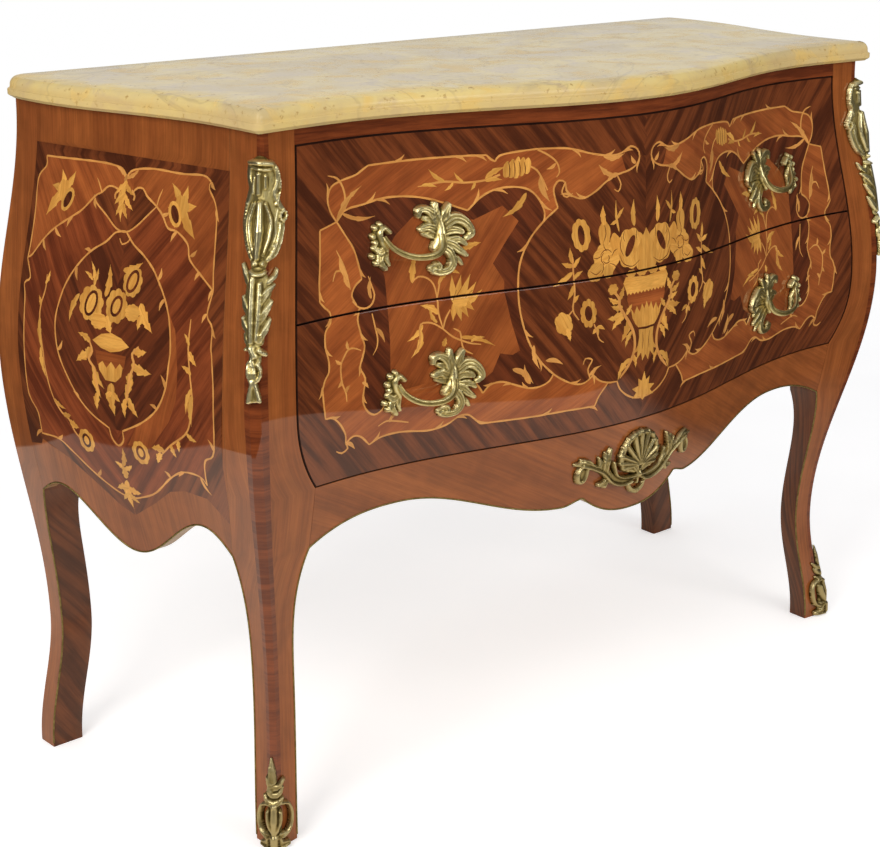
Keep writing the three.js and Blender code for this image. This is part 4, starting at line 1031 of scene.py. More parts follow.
front.both(oval((-92, 598), 5.4, 9.315, 0.1), DARK, GRAIN_LEFT, 0.3)
front.both(petals((-127, 590), 12, 15, 6, 0.16, 0.2, 0.5), FLOWER)
front.leaves([(-122, 584, -118, 568, 9)], FLOWER, 0.0, 3, 0.4)
front.leaves([(-82, 580, -78, 568, 5), (-80, 580, -68, 575, 5), (-82, 578, -86, 572, 5)], FLOWER, 0.1, 0)
front.line([(-84, 584), (-80, 574), (-76, 564), (-69, 559)], 2.0, (0.9, 0.4))
print("front design:", front.count, "pieces")

# %% [markdown]
# Each drawer front takes the part of the design that lies inside its own edge. Their sides follow
# the posts, and a narrow gap is left all round, as between real drawers.

# %% Lay the fronts
FRONT_GAP, FRONT_THICK = 0.0012, 0.022
ROUND, ROUND_END = 0.0012, 0.0008


def drape_front(flat, depth):
    """The front surface. The lower drawer's top edge is rounded, so its varnish catches the light."""
    x, z = flat[:, 0], flat[:, 1]
    y = front_y(x, z) + depth
    top = DRAWER_SPLIT - FRONT_GAP / 2
    near = np.clip((z - top) / ROUND + 1, 0, 1.5) * (z < top + ROUND_END)
    return np.stack([x, y + (0 if depth else ROUND) * near**2 / 2, z], 1)


def front_edge(low, high):
    bottom, top = low + FRONT_GAP, high - FRONT_GAP / 2
    zs = np.linspace(bottom, top, 36)
    half = drawer_edge_x(zs) - FRONT_GAP
    across = np.linspace(-1, 1, 150)[1:-1]
    right = np.stack([half, zs], 1)
    top_row = [(x * half[-1], top) for x in across[::-1]]
    bottom_row = [(x * half[0], bottom) for x in across]
    return np.vstack([bottom_row, right, top_row, (right * (-1, 1))[::-1]])


DRAWERS = (("upper", DRAWER_SPLIT, DRAWER_HIGH), ("lower", DRAWER_LOW, DRAWER_SPLIT))
# Strips of the near-black veneer along each drawer's edges are painted shade, widening the dark of the gap
# round it.
GAP_SHADE, GAP_SHADE_WIDTH, OVERRUN, OVERHEAD = INSIDE + 1, 0.0018, 0.004, 0.0009
for word, low, high in DRAWERS:
    zs = np.linspace(low, high, 24)
    half = drawer_edge_x(zs) - FRONT_GAP
    upright = np.vstack([np.stack([half - GAP_SHADE_WIDTH, zs], 1), np.stack([half + OVERRUN, zs], 1)[::-1]])
    front.both(upright, GAP_SHADE)
    wide = float(half.max()) + OVERRUN
    across = np.linspace(-wide, wide, 150)
    top, bottom = high - FRONT_GAP / 2, low + FRONT_GAP
    above = (top - GAP_SHADE_WIDTH, GAP_SHADE) if high == DRAWER_HIGH else (top - ROUND, None)
    strips = [(bottom + GAP_SHADE_WIDTH / 2, bottom - OVERHEAD, GAP_SHADE), (above[0], top + OVERHEAD, above[1])]
    for inner, outer, wood in strips:
        line = np.column_stack([across, np.full(len(across), inner)])
        front.cut(np.vstack([line, [(wide, outer), (-wide, outer)]]), wood)
# The edge walls of each front take the same painted gap shade.
for word, low, high in DRAWERS:
    name, edge, woods = f"inlaid_{word}_front", front_edge(low, high), [*INLAY_WOODS, GAP_SHADE_WOOD]
    piece = inlaid_panel(name, edge, front, drape_front, FRONT_THICK, woods, body=f"{word}_drawer", wall=GAP_SHADE)
    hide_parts(f"{word}_drawer_front")

# %% [markdown]
# ## The side panels
#
# Each side is one sheet from the front post to the back leg, with the scalloped apron as its lower
# edge. Its design is drawn in millimetres as depth and height: a dark border that follows the
# apron, a reddish field, spandrels with a blossom each, and an oval with a vase.

# %% Fields of the side
side = Inlay(paired=False)
PLAIN, RED = INSIDE + 1, INSIDE + 2
BORDER_TOP, SIDE_MIDDLE = 797, 34
SIDE_LEFT, SIDE_RIGHT = 0.9, -0.9


def side_cut(points, wood, angle=None):
    side.cut(np.asarray(points, float) / 1000, wood, angle)


def halved(points, wood):
    """A field whose stripes lean outwards from a middle line, so it is cut in two there."""
    points = np.asarray(points, float)
    for sign, angle in ((1, SIDE_LEFT), (-1, SIDE_RIGHT)):
        half = [p if sign * (p[0] - SIDE_MIDDLE) > 0 else (SIDE_MIDDLE, p[1]) for p in points]
        side_cut(half, wood, angle)


border = [(206, BORDER_TOP), (206, 431), (177, 437), (173, 444), (125, 431), (83, 406), (53, 384), (35, 376)]
border += [(-4, 401), (-32, 422), (-57, 429), (-94, 429), (-132, 404), (-134, 480), (-142, 560), (-140, 640)]
border += [(-130, 720), (-122, BORDER_TOP)]
side_cut([(220, 850), (220, 300), (-200, 300), (-200, 850)], PLAIN, UPRIGHT)
halved(border, GROUND)
SIDE_LINES = {
    "top_back": [(179, 783), (132, 785), (91, 786), (68, 785), (53, 782), (45, 774)],
    "top_front": [(45, 774), (36, 782), (9, 786), (-33, 785), (-67, 787), (-80, 782)],
    "back_high": [(179, 783), (178, 772), (193, 755), (191, 716), (191, 682), (193, 663)],
    "back_low": [(193, 663), (182, 642), (193, 634), (189, 615), (188, 563), (188, 510), (184, 494)]
    + [(172, 479), (171, 454)],
    "foot_back": [(172, 452), (138, 453), (114, 441), (80, 418), (52, 403), (34, 398)],
    "foot_front": [(34, 398), (17, 403), (-8, 415), (-38, 441), (-62, 454), (-89, 455), (-99, 447)],
    "front_low": [(-99, 447), (-99, 461), (-103, 478), (-121, 494), (-126, 559), (-121, 599)]
    + [(-118, 610), (-116, 632), (-105, 644), (-109, 670)],
    "front_high": [(-109, 670), (-104, 690), (-100, 715), (-93, 755), (-78, 774), (-80, 782)],
}
field = [curve(SIDE_LINES["top_back"])[::-1], *[curve(line) for line in list(SIDE_LINES.values())[2:]]]
halved(np.vstack([*field, curve(SIDE_LINES["top_front"])[::-1]]) * 1000, BAND)
SPANDREL_BACK = [(193, 664), (184, 669), (166, 689), (147, 705), (119, 722), (105, 731), (88, 748)]
SPANDREL_BACK += [(79, 753), (69, 761), (56, 759), (50, 752)]
SPANDREL_FRONT = [(34, 758), (28, 763), (20, 763), (14, 756), (6, 751), (-2, 746), (-12, 738)]
SPANDREL_FRONT += [(-23, 725), (-37, 723), (-56, 712), (-63, 697), (-83, 684), (-109, 670)]
inner = [curve(SPANDREL_FRONT)[::-1], [(0.045, 0.765)], curve(SPANDREL_BACK)[::-1]]
inner += [curve(SIDE_LINES[k]) for k in ("back_low", "foot_back", "foot_front", "front_low")]
halved(np.vstack(inner) * 1000, RED)
HEART_FOOT = [(90, 749), (84, 740), (68, 729), (50, 716), (35, 714), (22, 722), (12, 732), (-2, 746)]
heart = np.vstack([curve(HEART_FOOT) * 1000, [(6, 751), (14, 756), (20, 763), (28, 763), (34, 758)]])
halved(np.vstack([heart, [(45, 765), (50, 752), (56, 759), (69, 761), (79, 753)]]), GROUND)
shade = [(-30, 655), (-58, 619), (-66, 575), (-63, 540), (-49, 512), (-12, 470), (20, 470), (0, 500)]
side_cut(shade, BAND, -1.2)
OVAL_BACK = [(35, 714), (41, 714), (51, 711), (62, 700), (82, 687), (100, 668), (113, 648), (121, 627)]
OVAL_BACK += [(126, 600), (120, 567), (105, 539), (88, 515), (70, 499), (45, 486)]
OVAL_FRONT = [(35, 714), (22, 702), (5, 692), (-11, 680), (-22, 668), (-36, 650), (-47, 628), (-53, 600)]
OVAL_FRONT += [(-52, 580), (-47, 551), (-32, 524), (-7, 503), (25, 486)]
oval_side = np.vstack([curve(OVAL_BACK), curve(OVAL_FRONT)[::-1]]) * 1000
halved(oval_side, DARK)
print("side fields drawn:", side.count)

# %% Lines and flowers of the side
for points in (*SIDE_LINES.values(), SPANDREL_BACK, SPANDREL_FRONT, OVAL_BACK, OVAL_FRONT):
    side.line(points, 2.3, (0.8, 0.8), 0.15)
side.line(HEART_FOOT, 2.0)
side.line([(79, 753), (84, 762), (88, 768)], 1.8, (0.9, 0.3))
side.line([(-2, 746), (-4, 756), (-8, 766)], 1.8, (0.9, 0.3))
side.line([(52, 757), (57, 756), (59, 752), (58, 748)], 2.4, (0.6, 1.1))
side.line([(36, 760), (33, 757), (31, 753), (32, 749)], 2.4, (0.6, 1.1))
side.line([(43, 706), (38, 700), (30, 704), (28, 709)], 1.8)
side.line([(45, 486), (43, 474), (35, 466), (26, 474), (25, 486)], 2.6)
side.leaves([(45, 772, 62, 784, 6), (45, 772, 28, 784, 6), (45, 776, 46, 762, 5)], STRING)
side.leaves([
    (45, 770, 46, 724, 12), (45, 754, 58, 742, 8), (45, 754, 31, 738, 8), (45, 744, 54, 730, 7),
    (45, 744, 37, 728, 7), (45, 766, 58, 753, 7), (45, 766, 32, 754, 7),
])
BLOSSOM_RAYS = ((1.3, 24, 11), (2.2, 29, 11), (0.15, 23, 11), (-0.85, 42, 15), (-1.8, 24, 9), (3.3, 20, 10))
for y, z, flip in ((140, 748, 1), (-38, 750, -1)):
    for a, reach, width in BLOSSOM_RAYS:
        tip = (y + flip * reach * math.cos(a), z + reach * math.sin(a))
        side.leaves([(y, z, *tip, width)], FLOWER, 0.05, 2, 0.3)
    side.cut(petals((y, z), 12, 13, 6, 0.15), FLOWER)
    side.cut(oval((y - 8 * flip, z - 9), 9, 15, 0.5 * flip), FLOWER)
    side.cut(oval((y - 8 * flip, z - 9), 5.2, 10.5, 0.5 * flip), DARK, 0.9, 0.3)
NOTCHES = (
    (166, 689, 158, 677), (119, 722, 127, 708), (88, 746, 84, 734), (147, 705, 134, 696),
    (-37, 723, -30, 711), (-63, 700, -72, 708), (-83, 686, -76, 676), (-12, 738, -22, 742),
    (100, 668, 96, 652), (120, 567, 112, 580), (82, 687, 92, 688), (88, 515, 96, 522),
    (-36, 650, -30, 636), (-47, 551, -40, 566), (-22, 668, -24, 682), (-32, 524, -22, 528),
    (-62, 454, -52, 446), (-89, 455, -104, 436), (-38, 441, -30, 448), (138, 453, 128, 460),
    (170, 456, 186, 444), (80, 418, 72, 428), (-121, 494, -112, 506), (-116, 632, -124, 622),
    (-104, 645, -98, 634), (-93, 755, -100, 742), (-80, 782, -88, 774), (-109, 672, -103, 658),
)
side.leaves([(*place, 4.5) for place in NOTCHES], STRING, 0.1, 0)

# %% Vase, bouquet and sprigs of the side
side_cut([(56, 574), (14, 574), (19, 553), (28, 545), (43, 545), (52, 556)], FLOWER, UPRIGHT)
scallops = [(15, 562), (21, 568), (27, 561), (34, 568), (41, 560), (47, 567), (55, 561)]
side_cut([(58, 578), (12, 578), *scallops], BAND)
side_cut([(63, 589), (50, 598), (35, 601), (20, 597), (8, 589), (22, 582), (35, 579), (50, 582)], FLOWER, 0.0)
side.leaves([
    (34, 543, 33, 503, 13), (35, 532, 44, 522, 6), (32, 532, 23, 522, 6), (66, 586, 86, 594, 7),
    (66, 572, 88, 560, 10), (62, 560, 46, 534, 8), (60, 552, 52, 522, 8), (56, 528, 60, 506, 8),
    (66, 580, 70, 566, 9), (2, 586, -18, 588, 9), (4, 570, -26, 564, 11), (4, 560, 8, 542, 9),
    (2, 552, 14, 524, 8), (10, 530, -2, 508, 8), (14, 528, 18, 504, 7), (68, 650, 78, 676, 5),
    (70, 652, 66, 670, 4), (72, 656, 86, 664, 4), (50, 640, 50, 676, 8), (-2, 640, -24, 610, 12),
    (-8, 628, -2, 610, 8), (90, 638, 102, 604, 7), (44, 620, 36, 600, 12), (30, 672, 4, 684, 8),
], wide=1.4)
side.line([(68, 588), (63, 576), (68, 566), (60, 556), (58, 542), (54, 530)], 3.4)
side.line([(-6, 592), (3, 582), (0, 570), (6, 556), (10, 540), (12, 526)], 3.4)
for y, z, across, up, heart in (
    (70, 630, 19, 21, (6, 12)),
    (32, 632, 16, 20, (5, 9)),
    (14, 662, 14, 18, (5, 10)),
    (56, 612, 12, 10, None),
    (8, 628, 11, 10, None),
):
    side.cut(petals((y, z), across, up, 9, 0.16, 0.2), FLOWER)
    if heart:
        side.cut(oval((y, z), heart[0] + 3.2, heart[1] + 3.6, 0.3), DARK, 0.9, 0.3)
        side.cut(oval((y, z), *heart, 0.3), FLOWER)
stem = [(149, 651), (149, 634), (155, 614), (155, 595), (148, 562), (146, 545), (140, 520), (133, 502)]
side.line(stem, 2.4)
side.line([(133, 502), (122, 490), (111, 484), (104, 470), (96, 462)], 2.8)
stem = [(-80, 635), (-81, 603), (-86, 575), (-90, 545), (-84, 520), (-74, 503), (-48, 484), (-30, 468)]
side.line(stem, 2.4)
side.leaves([
    (150, 640, 144, 656, 5), (155, 614, 160, 625, 5), (155, 600, 148, 560, 7), (152, 565, 144, 528, 7),
    (134, 505, 114, 496, 5), (120, 488, 106, 490, 7), (110, 482, 95, 476, 9), (-82, 606, -72, 618, 5),
    (-83, 600, -96, 586, 7), (-88, 575, -72, 582, 6), (-90, 552, -86, 515, 8), (-90, 560, -78, 528, 6),
    (-76, 504, -92, 498, 6), (-62, 492, -60, 478, 6), (-48, 484, -54, 470, 6), (-36, 474, -16, 474, 9),
    (-30, 470, -22, 456, 8),
], wide=1.35)
for y, z in ((86, 462), (2, 464)):
    side.cut(petals((y, z), 13, 15, 8, 0.14, 0.2), FLOWER)
    side.cut(oval((y, z), 7, 9), GROUND, 0.9, 0.2)
    side.cut(oval((y, z), 4, 5.5), FLOWER)
side.leaves([
    (34, 440, 30, 464, 7), (34, 436, 46, 444, 6), (34, 436, 20, 444, 6), (34, 424, 36, 442, 9),
    (34, 422, 34, 384, 10), (34, 412, 52, 408, 9), (34, 412, 16, 408, 9), (34, 404, 46, 394, 6),
    (34, 404, 22, 394, 6),
], wide=1.3)
print("side design:", len(side.cuts), "pieces")

# %% Lay the sides
PANEL_THICK = 0.018
PANEL_BACK = CASE_BACK - REAR_POST_DEPTH - SEAT_GAP
SIDE_LIP, SIDE_DROP, KNEE_SHARE = 0.011, 0.076, 0.15


def side_apron_edge(share):
    """Lower edge of the side apron, by its share of the way from front to back."""
    s = np.minimum(share, 1 - share)
    knee = np.where(share < 0.5, SIDE_KNEE_DROP, REAR_KNEE_DROP)
    near = mix(knee, SIDE_LIP, np.sin(np.pi / 2 * np.clip(s / KNEE_SHARE, 0, 1)))
    far = mix(SIDE_LIP, SIDE_DROP, ease(np.clip((s - KNEE_SHARE) / (0.5 - KNEE_SHARE), 0, 1)))
    return ARCH - np.where(s < KNEE_SHARE, near, far)


def side_panel_y(z, share):
    return mix(corner_y(z) + SIDE_POST + SEAT_GAP, PANEL_BACK, share)


foot_shares = np.linspace(0, 1, 90)
foot_z = side_apron_edge(foot_shares)
foot_edge = np.stack([side_panel_y(foot_z, foot_shares), foot_z], 1)
back_z = np.linspace(foot_z[-1], CASE_TOP, 60)[1:]
front_z = np.linspace(CASE_TOP, foot_z[0], 60)[1:-1]
top_y = np.linspace(PANEL_BACK, float(side_panel_y(CASE_TOP, 0)), 40)[1:]
side_edge = [foot_edge, np.stack([np.full_like(back_z, PANEL_BACK), back_z], 1)]
side_edge += [np.stack([top_y, np.full_like(top_y, CASE_TOP)], 1)]
side_edge = np.vstack([*side_edge, np.stack([side_panel_y(front_z, 0), front_z], 1)])
SIDE_GROUND = veneer("side_ground", (136, 66, 32), (86, 36, 16), 0.011, 0.85)
PLAIN_SIDE = veneer("plain_side_veneer", (144, 79, 35), (112, 56, 23), 0.020, 0.6)
SIDE_WOODS = [*INLAY_WOODS, PLAIN_SIDE, SIDE_GROUND]
for word, sign in SIDES:

    def drape_side(flat, depth, sign=sign):
        y, z = flat[:, 0], flat[:, 1]
        return np.stack([sign * (side_x(y, z) - depth), y, z], 1)

    name = f"inlaid_side_{word}"
    piece = inlaid_panel(name, side_edge, side, drape_side, PANEL_THICK, SIDE_WOODS, flip=sign < 0)
    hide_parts(f"side_panel_{word}")

# %% [markdown]
# ## Marble
#
# The slab overhangs the case and is ground to a moulded edge. It is lofted from one plan outline,
# moved inwards at each height of the edge profile. The stone is a warm cream with soft clouds, thin
# grey veins and small ochre specks, under a polish.

# %% Slab
SLAB_BASE, SLAB_THICK, OVERHANG, BACK_OVERHANG = 0.844, 0.026, 0.015, 0.010
FRONT_CORNER, BACK_CORNER, CAP_SPACING = 0.012, 0.030, 0.04


def rounded(corners):
    """A closed outline through corners given as (x, y, radius); a zero radius is a plain point."""
    line = []
    for i, (x, y, radius) in enumerate(corners):
        here = np.array([x, y])
        if not radius:
            line.append(here)
            continue
        ways = [np.array(corners[(i + k) % len(corners)][:2]) - here for k in (-1, 1)]
        start, stop = (here + way / np.linalg.norm(way) * radius for way in ways)
        line += [(1 - t) ** 2 * start + 2 * t * (1 - t) * here + t**2 * stop for t in np.linspace(0, 1, 10)]
    return np.array(line)


def plain(xs, ys):
    return [(x, y, 0) for x, y in zip(xs, ys)]


def inset(outline, distance):
    """Each point of a counter-clockwise outline, moved inwards."""
    along = np.roll(outline, -1, axis=0) - np.roll(outline, 1, axis=0)
    along /= np.linalg.norm(along, axis=1)[:, None]
    return outline + distance * np.stack([-along[:, 1], along[:, 0]], 1)


corner_x = FRONT_HALF[3] + OVERHANG
corner_front_y = float(corner_y(CASE_TOP)) - OVERHANG
slab_back, slab_back_x = CASE_BACK + BACK_OVERHANG, REAR_HALF[3] + OVERHANG
front_xs = np.linspace(-corner_x, corner_x, 90)[1:-1]
front_xs = front_xs[np.abs(front_xs) < corner_x - 1.5 * FRONT_CORNER]
front_ys = front_y(front_xs * FRONT_HALF[3] / corner_x, CASE_TOP) - OVERHANG
side_ys = np.linspace(corner_front_y, slab_back, 40)[1:]
side_ys = side_ys[(side_ys < slab_back - 1.2 * BACK_CORNER) & (side_ys > corner_front_y + 1.5 * FRONT_CORNER)]
side_xs = side_x(side_ys, CASE_TOP) + OVERHANG
corners = [(-corner_x, corner_front_y, FRONT_CORNER), *plain(front_xs, front_ys)]
corners += [(corner_x, corner_front_y, FRONT_CORNER), *plain(side_xs, side_ys)]
corners += [(slab_back_x, slab_back, BACK_CORNER)]
corners += [(x, slab_back, 0) for x in np.linspace(slab_back_x - 0.05, -slab_back_x + 0.05, 20)]
corners += [(-slab_back_x, slab_back, BACK_CORNER), *plain(-side_xs[::-1], side_ys[::-1])]
slab_outline = rounded(corners)
turns = np.linspace(0, math.pi / 2, 7)
profile = [(0.006, 0.0), (0.0055, 0.0006), (0.0012, 0.0030), (0.0, 0.0042), (0.0, 0.0100), (0.0008, 0.0110)]
profile += [(0.0012 + 0.0020 * math.sin(t), 0.0110 + 0.0030 * (1 - math.cos(t))) for t in turns]
profile += [(0.0032 + 0.0110 * (1 - math.cos(t)), 0.0145 + 0.0110 * math.sin(t)) for t in turns]
profile += [(0.0150, SLAB_THICK)]
count = len(slab_outline)
rings = [np.column_stack([inset(slab_outline, s), np.full(count, SLAB_BASE + up)]) for s, up in profile]
slab_points = np.vstack(rings)
last = (len(profile) - 1) * count
slab_faces = grid_faces(len(profile), count, closed=True)
for ring, first, step in ((rings[0], 0, -1), (rings[-1], last, 1)):
    flat, triangles = triangulate(ring[:, :2], [], CAP_SPACING)
    within = flat[count:]
    numbers = np.concatenate([first + np.arange(count), len(slab_points) + np.arange(len(within))])
    slab_points = np.vstack([slab_points, np.column_stack([within, np.full(len(within), ring[0, 2])])])
    slab_faces += numbers[triangles[:, ::step]].tolist()


def make_marble():
    material, n, shader = new_material("cream_marble")
    place = n.place()
    clouds = n.noise(place, 6.0, 6.0, 0.6, 0.9)
    patches = n.noise(place, 17.0, 5.0, 0.62, 0.7)
    base = n.mix_colour(n.span(clouds, 0.38, 0.62), srgb(206, 185, 137), srgb(227, 204, 136))
    base = n.mix_colour(n.span(patches, 0.5, 0.66, 0.0, 0.7), base, srgb(228, 191, 108))
    base = n.mix_colour(n.span(patches, 0.32, 0.46, 0.6, 0.0), base, srgb(194, 171, 138))
    veins = n.noise(place, 4.0, 4.0, 0.55, 1.4)
    ridge = n.math("ABSOLUTE", n.math("SUBTRACT", veins, 0.5))
    base = n.mix_colour(n.span(ridge, 0.0, 0.014, 0.32, 0.0), base, srgb(160, 142, 110))
    specks = n.noise(place, 120.0, 3.0, 0.7)
    base = n.mix_colour(n.span(specks, 0.60, 0.70, 0.0, 0.7), base, srgb(156, 118, 62))
    low = n.span(n.parts(place)[2], SLAB_BASE + 0.012, SLAB_BASE + 0.025, 0.4, 0.0)
    done = n.mix_colour(low, base, srgb(213, 177, 103))
    polish = {"Roughness": n.span(patches, 0.3, 0.7, 0.18, 0.3), "Normal": n.bump(specks, 0.0002, 0.4)}
    n.fill(shader, {"Base Color": done, "Specular IOR Level": 0.22, **polish})
    return material


MARBLE = make_marble()
slab = build_piece("marble_slab", slab_points, slab_faces, [MARBLE])
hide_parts("marble_top")
print("slab:", len(slab_faces), "faces")

# %% [markdown]
# ## Cast brass
#
# The mounts and pulls are lost-wax castings: soft scrolls, leaves and shells. Each is drawn flat as
# strokes, lines with a radius and a height that change along them. Where strokes overlap, the higher
# one wins, which gives the folds of a carved leaf. The relief becomes a grid of small cells, its rim
# is moved onto the drawn outline, a back closes it, and the whole is bent onto the case. Each point
# also stores how deep it lies among its neighbours, because old brass stays dark in the hollows.

# %% Relief builder
CELL, CAST_RIM = 0.85, 1.3
CAST_SHARP = math.radians(62)


def swell(share, kind):
    """Height of a stroke's section, by the share of its radius."""
    edge = np.sqrt(np.clip(1 - share**2, 0, 1))
    if kind == "dome":
        return edge
    if kind == "plate":
        return np.sqrt(np.clip(1 - share**6, 0, 1))
    rim = np.exp(-(((share - 0.66) / 0.2) ** 2))
    vein = np.exp(-((share / 0.16) ** 2))
    return (0.62 + 0.34 * rim + 0.2 * vein) * np.sqrt(np.clip(1 - share**4, 0, 1))


class Casting:
    """A relief in millimetres over a flat drawing."""

    def __init__(self):
        self.strokes = []

    def stroke(self, points, radii, heights, kind):
        """A line with radii and heights along it. Each may be one number or several."""
        points = np.asarray(points, float)
        line = curve(points, 0.0015) * 1000 if len(points) > 2 else np.vstack([points[:1], points])
        t = np.linspace(0, 1, len(line))
        spread = [np.interp(t, np.linspace(0, 1, np.size(v)), np.atleast_1d(v)) for v in (radii, heights)]
        self.strokes.append((line, *spread, kind))

    def add(self, kind, rows):
        for points, radii, heights in rows:
            self.stroke(points, radii, heights, kind)

    def bead(self, place, radius, height):
        self.stroke([place, place], radius, height, "dome")

    def field(self, points):
        """How far inside the outline each point lies, and how high the relief is there."""
        inside, height = np.full(len(points), -9.0), np.zeros(len(points))
        for line, radii, heights, kind in self.strokes:
            reach = radii.max() + 3
            low, high = line.min(0) - reach, line.max(0) + reach
            near = np.flatnonzero(((points > low) & (points < high)).all(1))
            if not len(near):
                continue
            p = points[near][:, None, :]
            a, span = line[:-1], np.diff(line, axis=0)
            length = np.maximum((span**2).sum(1), 1e-9)
            t = np.clip(((p - a) * span).sum(2) / length, 0, 1)
            away = np.linalg.norm(p - a - span * t[..., None], axis=2)
            radius = mix(radii[:-1], radii[1:], t)
            best = (away / radius).argmin(1)
            rows = np.arange(len(near))
            share, radius = (away / radius)[rows, best], radius[rows, best]
            rise = mix(heights[:-1], heights[1:], t)[rows, best] * swell(np.minimum(share, 1), kind)
            inside[near] = np.maximum(inside[near], (1 - share) * radius)
            height[near] = np.maximum(height[near], rise)
        return inside, height

    def settle(self, points):
        """Points moved onto the outline in a few steps down the slope of the field."""
        points, start, small = points.copy(), points.copy(), 0.15
        for _ in range(4):
            value, _ = self.field(points)
            du = self.field(points + (small, 0))[0] - self.field(points - (small, 0))[0]
            dv = self.field(points + (0, small))[0] - self.field(points - (0, small))[0]
            slope = np.stack([du, dv], 1) / (2 * small)
            steep = np.maximum((slope**2).sum(1), 0.25)
            points -= (np.clip(value, -CELL, CELL) / steep)[:, None] * slope
            points = start + np.clip(points - start, -0.8 * CELL, 0.8 * CELL)
        return points


def soften(grid, times):
    for _ in range(times):
        grid = np.pad(grid, 1, mode="edge")
        rows = (grid[:-2] + 2 * grid[1:-1] + grid[2:]) / 4
        grid = (rows[:, :-2] + 2 * rows[:, 1:-1] + rows[:, 2:]) / 4
    return grid


def cast_mesh(casting):
    """Points (across, up, rise) in millimetres, faces and hollows of a closed relief."""
    reach = max(radii.max() for _, radii, _, _ in casting.strokes) + 2 * CELL
    low = np.min([line.min(0) for line, *_ in casting.strokes], axis=0) - reach
    high = np.max([line.max(0) for line, *_ in casting.strokes], axis=0) + reach
    us, vs = np.arange(low[0], high[0], CELL), np.arange(low[1], high[1], CELL)
    rows, columns = len(vs), len(us)
    flat = np.stack(np.meshgrid(us, vs), -1).reshape(-1, 2)
    inside, height = casting.field(flat)
    within = (inside > -0.3 * CELL).reshape(rows, columns)
    keep = within[:-1, :-1] & within[1:, :-1] & within[:-1, 1:] & within[1:, 1:]
    quarters = [(slice(None, -1), slice(None, -1)), (slice(None, -1), slice(1, None))]
    quarters += [(slice(1, None), slice(None, -1)), (slice(1, None), slice(1, None))]
    lone = np.array([[True]])
    while lone.any():
        a, b, c, d = (keep[q] for q in quarters)
        lone = (a & d & ~b & ~c) | (b & c & ~a & ~d)
        for q in quarters:
            keep[q] |= lone
    r, c = np.nonzero(keep)
    first = r * columns + c
    quads = np.stack([first, first + 1, first + columns + 1, first + columns], 1)
    used, quads = np.unique(quads, return_inverse=True)
    quads = quads.reshape(-1, 4)
    around = np.bincount(quads.ravel(), minlength=len(used))
    rim = around < 4
    spots = flat[used]
    spots[rim] = casting.settle(spots[rim])
    grid = height.reshape(rows, columns)
    smooth = soften(grid, 1)
    rise = CAST_RIM + np.where(rim, 0, smooth.ravel()[used])
    hollow = np.clip((soften(grid, 8) - smooth).ravel()[used] / 1.1, -1, 1)
    count = len(used)
    faces = quads.tolist() + (quads[:, ::-1] + count).tolist()
    faces += [(b, a, a + count, b + count) for a, b in open_edges(quads)]
    points = np.vstack([np.column_stack([spots, rise]), np.column_stack([spots, np.zeros(count)])])
    return points, faces, np.concatenate([hollow, np.ones(count)])


# %% Brass
def make_brass(name, ridge, middle, deepest):
    """Old polished brass: pale yellow on the ridges, dark olive in the hollows, softly pitted."""
    material, n, shader = new_material(name)
    cloud, fine = n.noise(n.place(), 160.0, 4.0, 0.6), n.noise(n.place(), 700.0, 2.0, 0.6)
    deep = n.plus(n.attribute("hollow"), n.times(n.math("SUBTRACT", cloud, 0.5), 0.7))
    colour = n.mix_colour(n.span(deep, -0.35, 0.1), srgb(*ridge), srgb(*middle))
    colour = n.mix_colour(n.span(deep, 0.05, 0.75), colour, srgb(*deepest))
    pits = n.bump(n.plus(n.times(fine, 0.5), cloud), 0.0006, 0.7)
    wear = {"Roughness": n.span(deep, -0.2, 0.6, 0.36, 0.62), "Normal": pits}
    n.fill(shader, {"Base Color": colour, "Metallic": 1.0, **wear})
    return material


BRASS = make_brass("cast_brass", (238, 224, 166), (204, 184, 118), (112, 97, 53))
# Lighter and darker copies of one brass, with light and shade painted in: the lighter for the corner mounts,
# the darker for the foot and apron mounts.
PAINTED_LIGHT_BRASS = make_brass("brass_painted_lighter", (253, 241, 188), (232, 213, 142), (136, 119, 68))
PAINTED_SHADE_BRASS = make_brass("brass_painted_darker", (200, 184, 134), (166, 147, 94), (88, 74, 41))


def cast_piece(name, cast, drape, flip=False, body="case", brass=BRASS):
    """A casting. drape turns its (across, up, rise), here in metres, into places on the case."""
    points, faces, hollow = cast
    placed = drape(*(points / 1000).T)
    shown = [f[::-1] for f in faces] if flip else faces
    piece = build_piece(name, placed, shown, [brass], body=body, sharp=CAST_SHARP)
    layer = piece.data.attributes.new("hollow", "FLOAT", "POINT")
    layer.data.foreach_set("value", np.asarray(hollow, np.float32))
    return piece


# %% [markdown]
# A pull is one casting: a leaf end with curled lobes, a small sprig at the outer end, and a bow
# between them that the hand takes. The bow stands clear of the drawer, so it isn't relief: it is a
# tube with two raised rims, swept along a path in space.

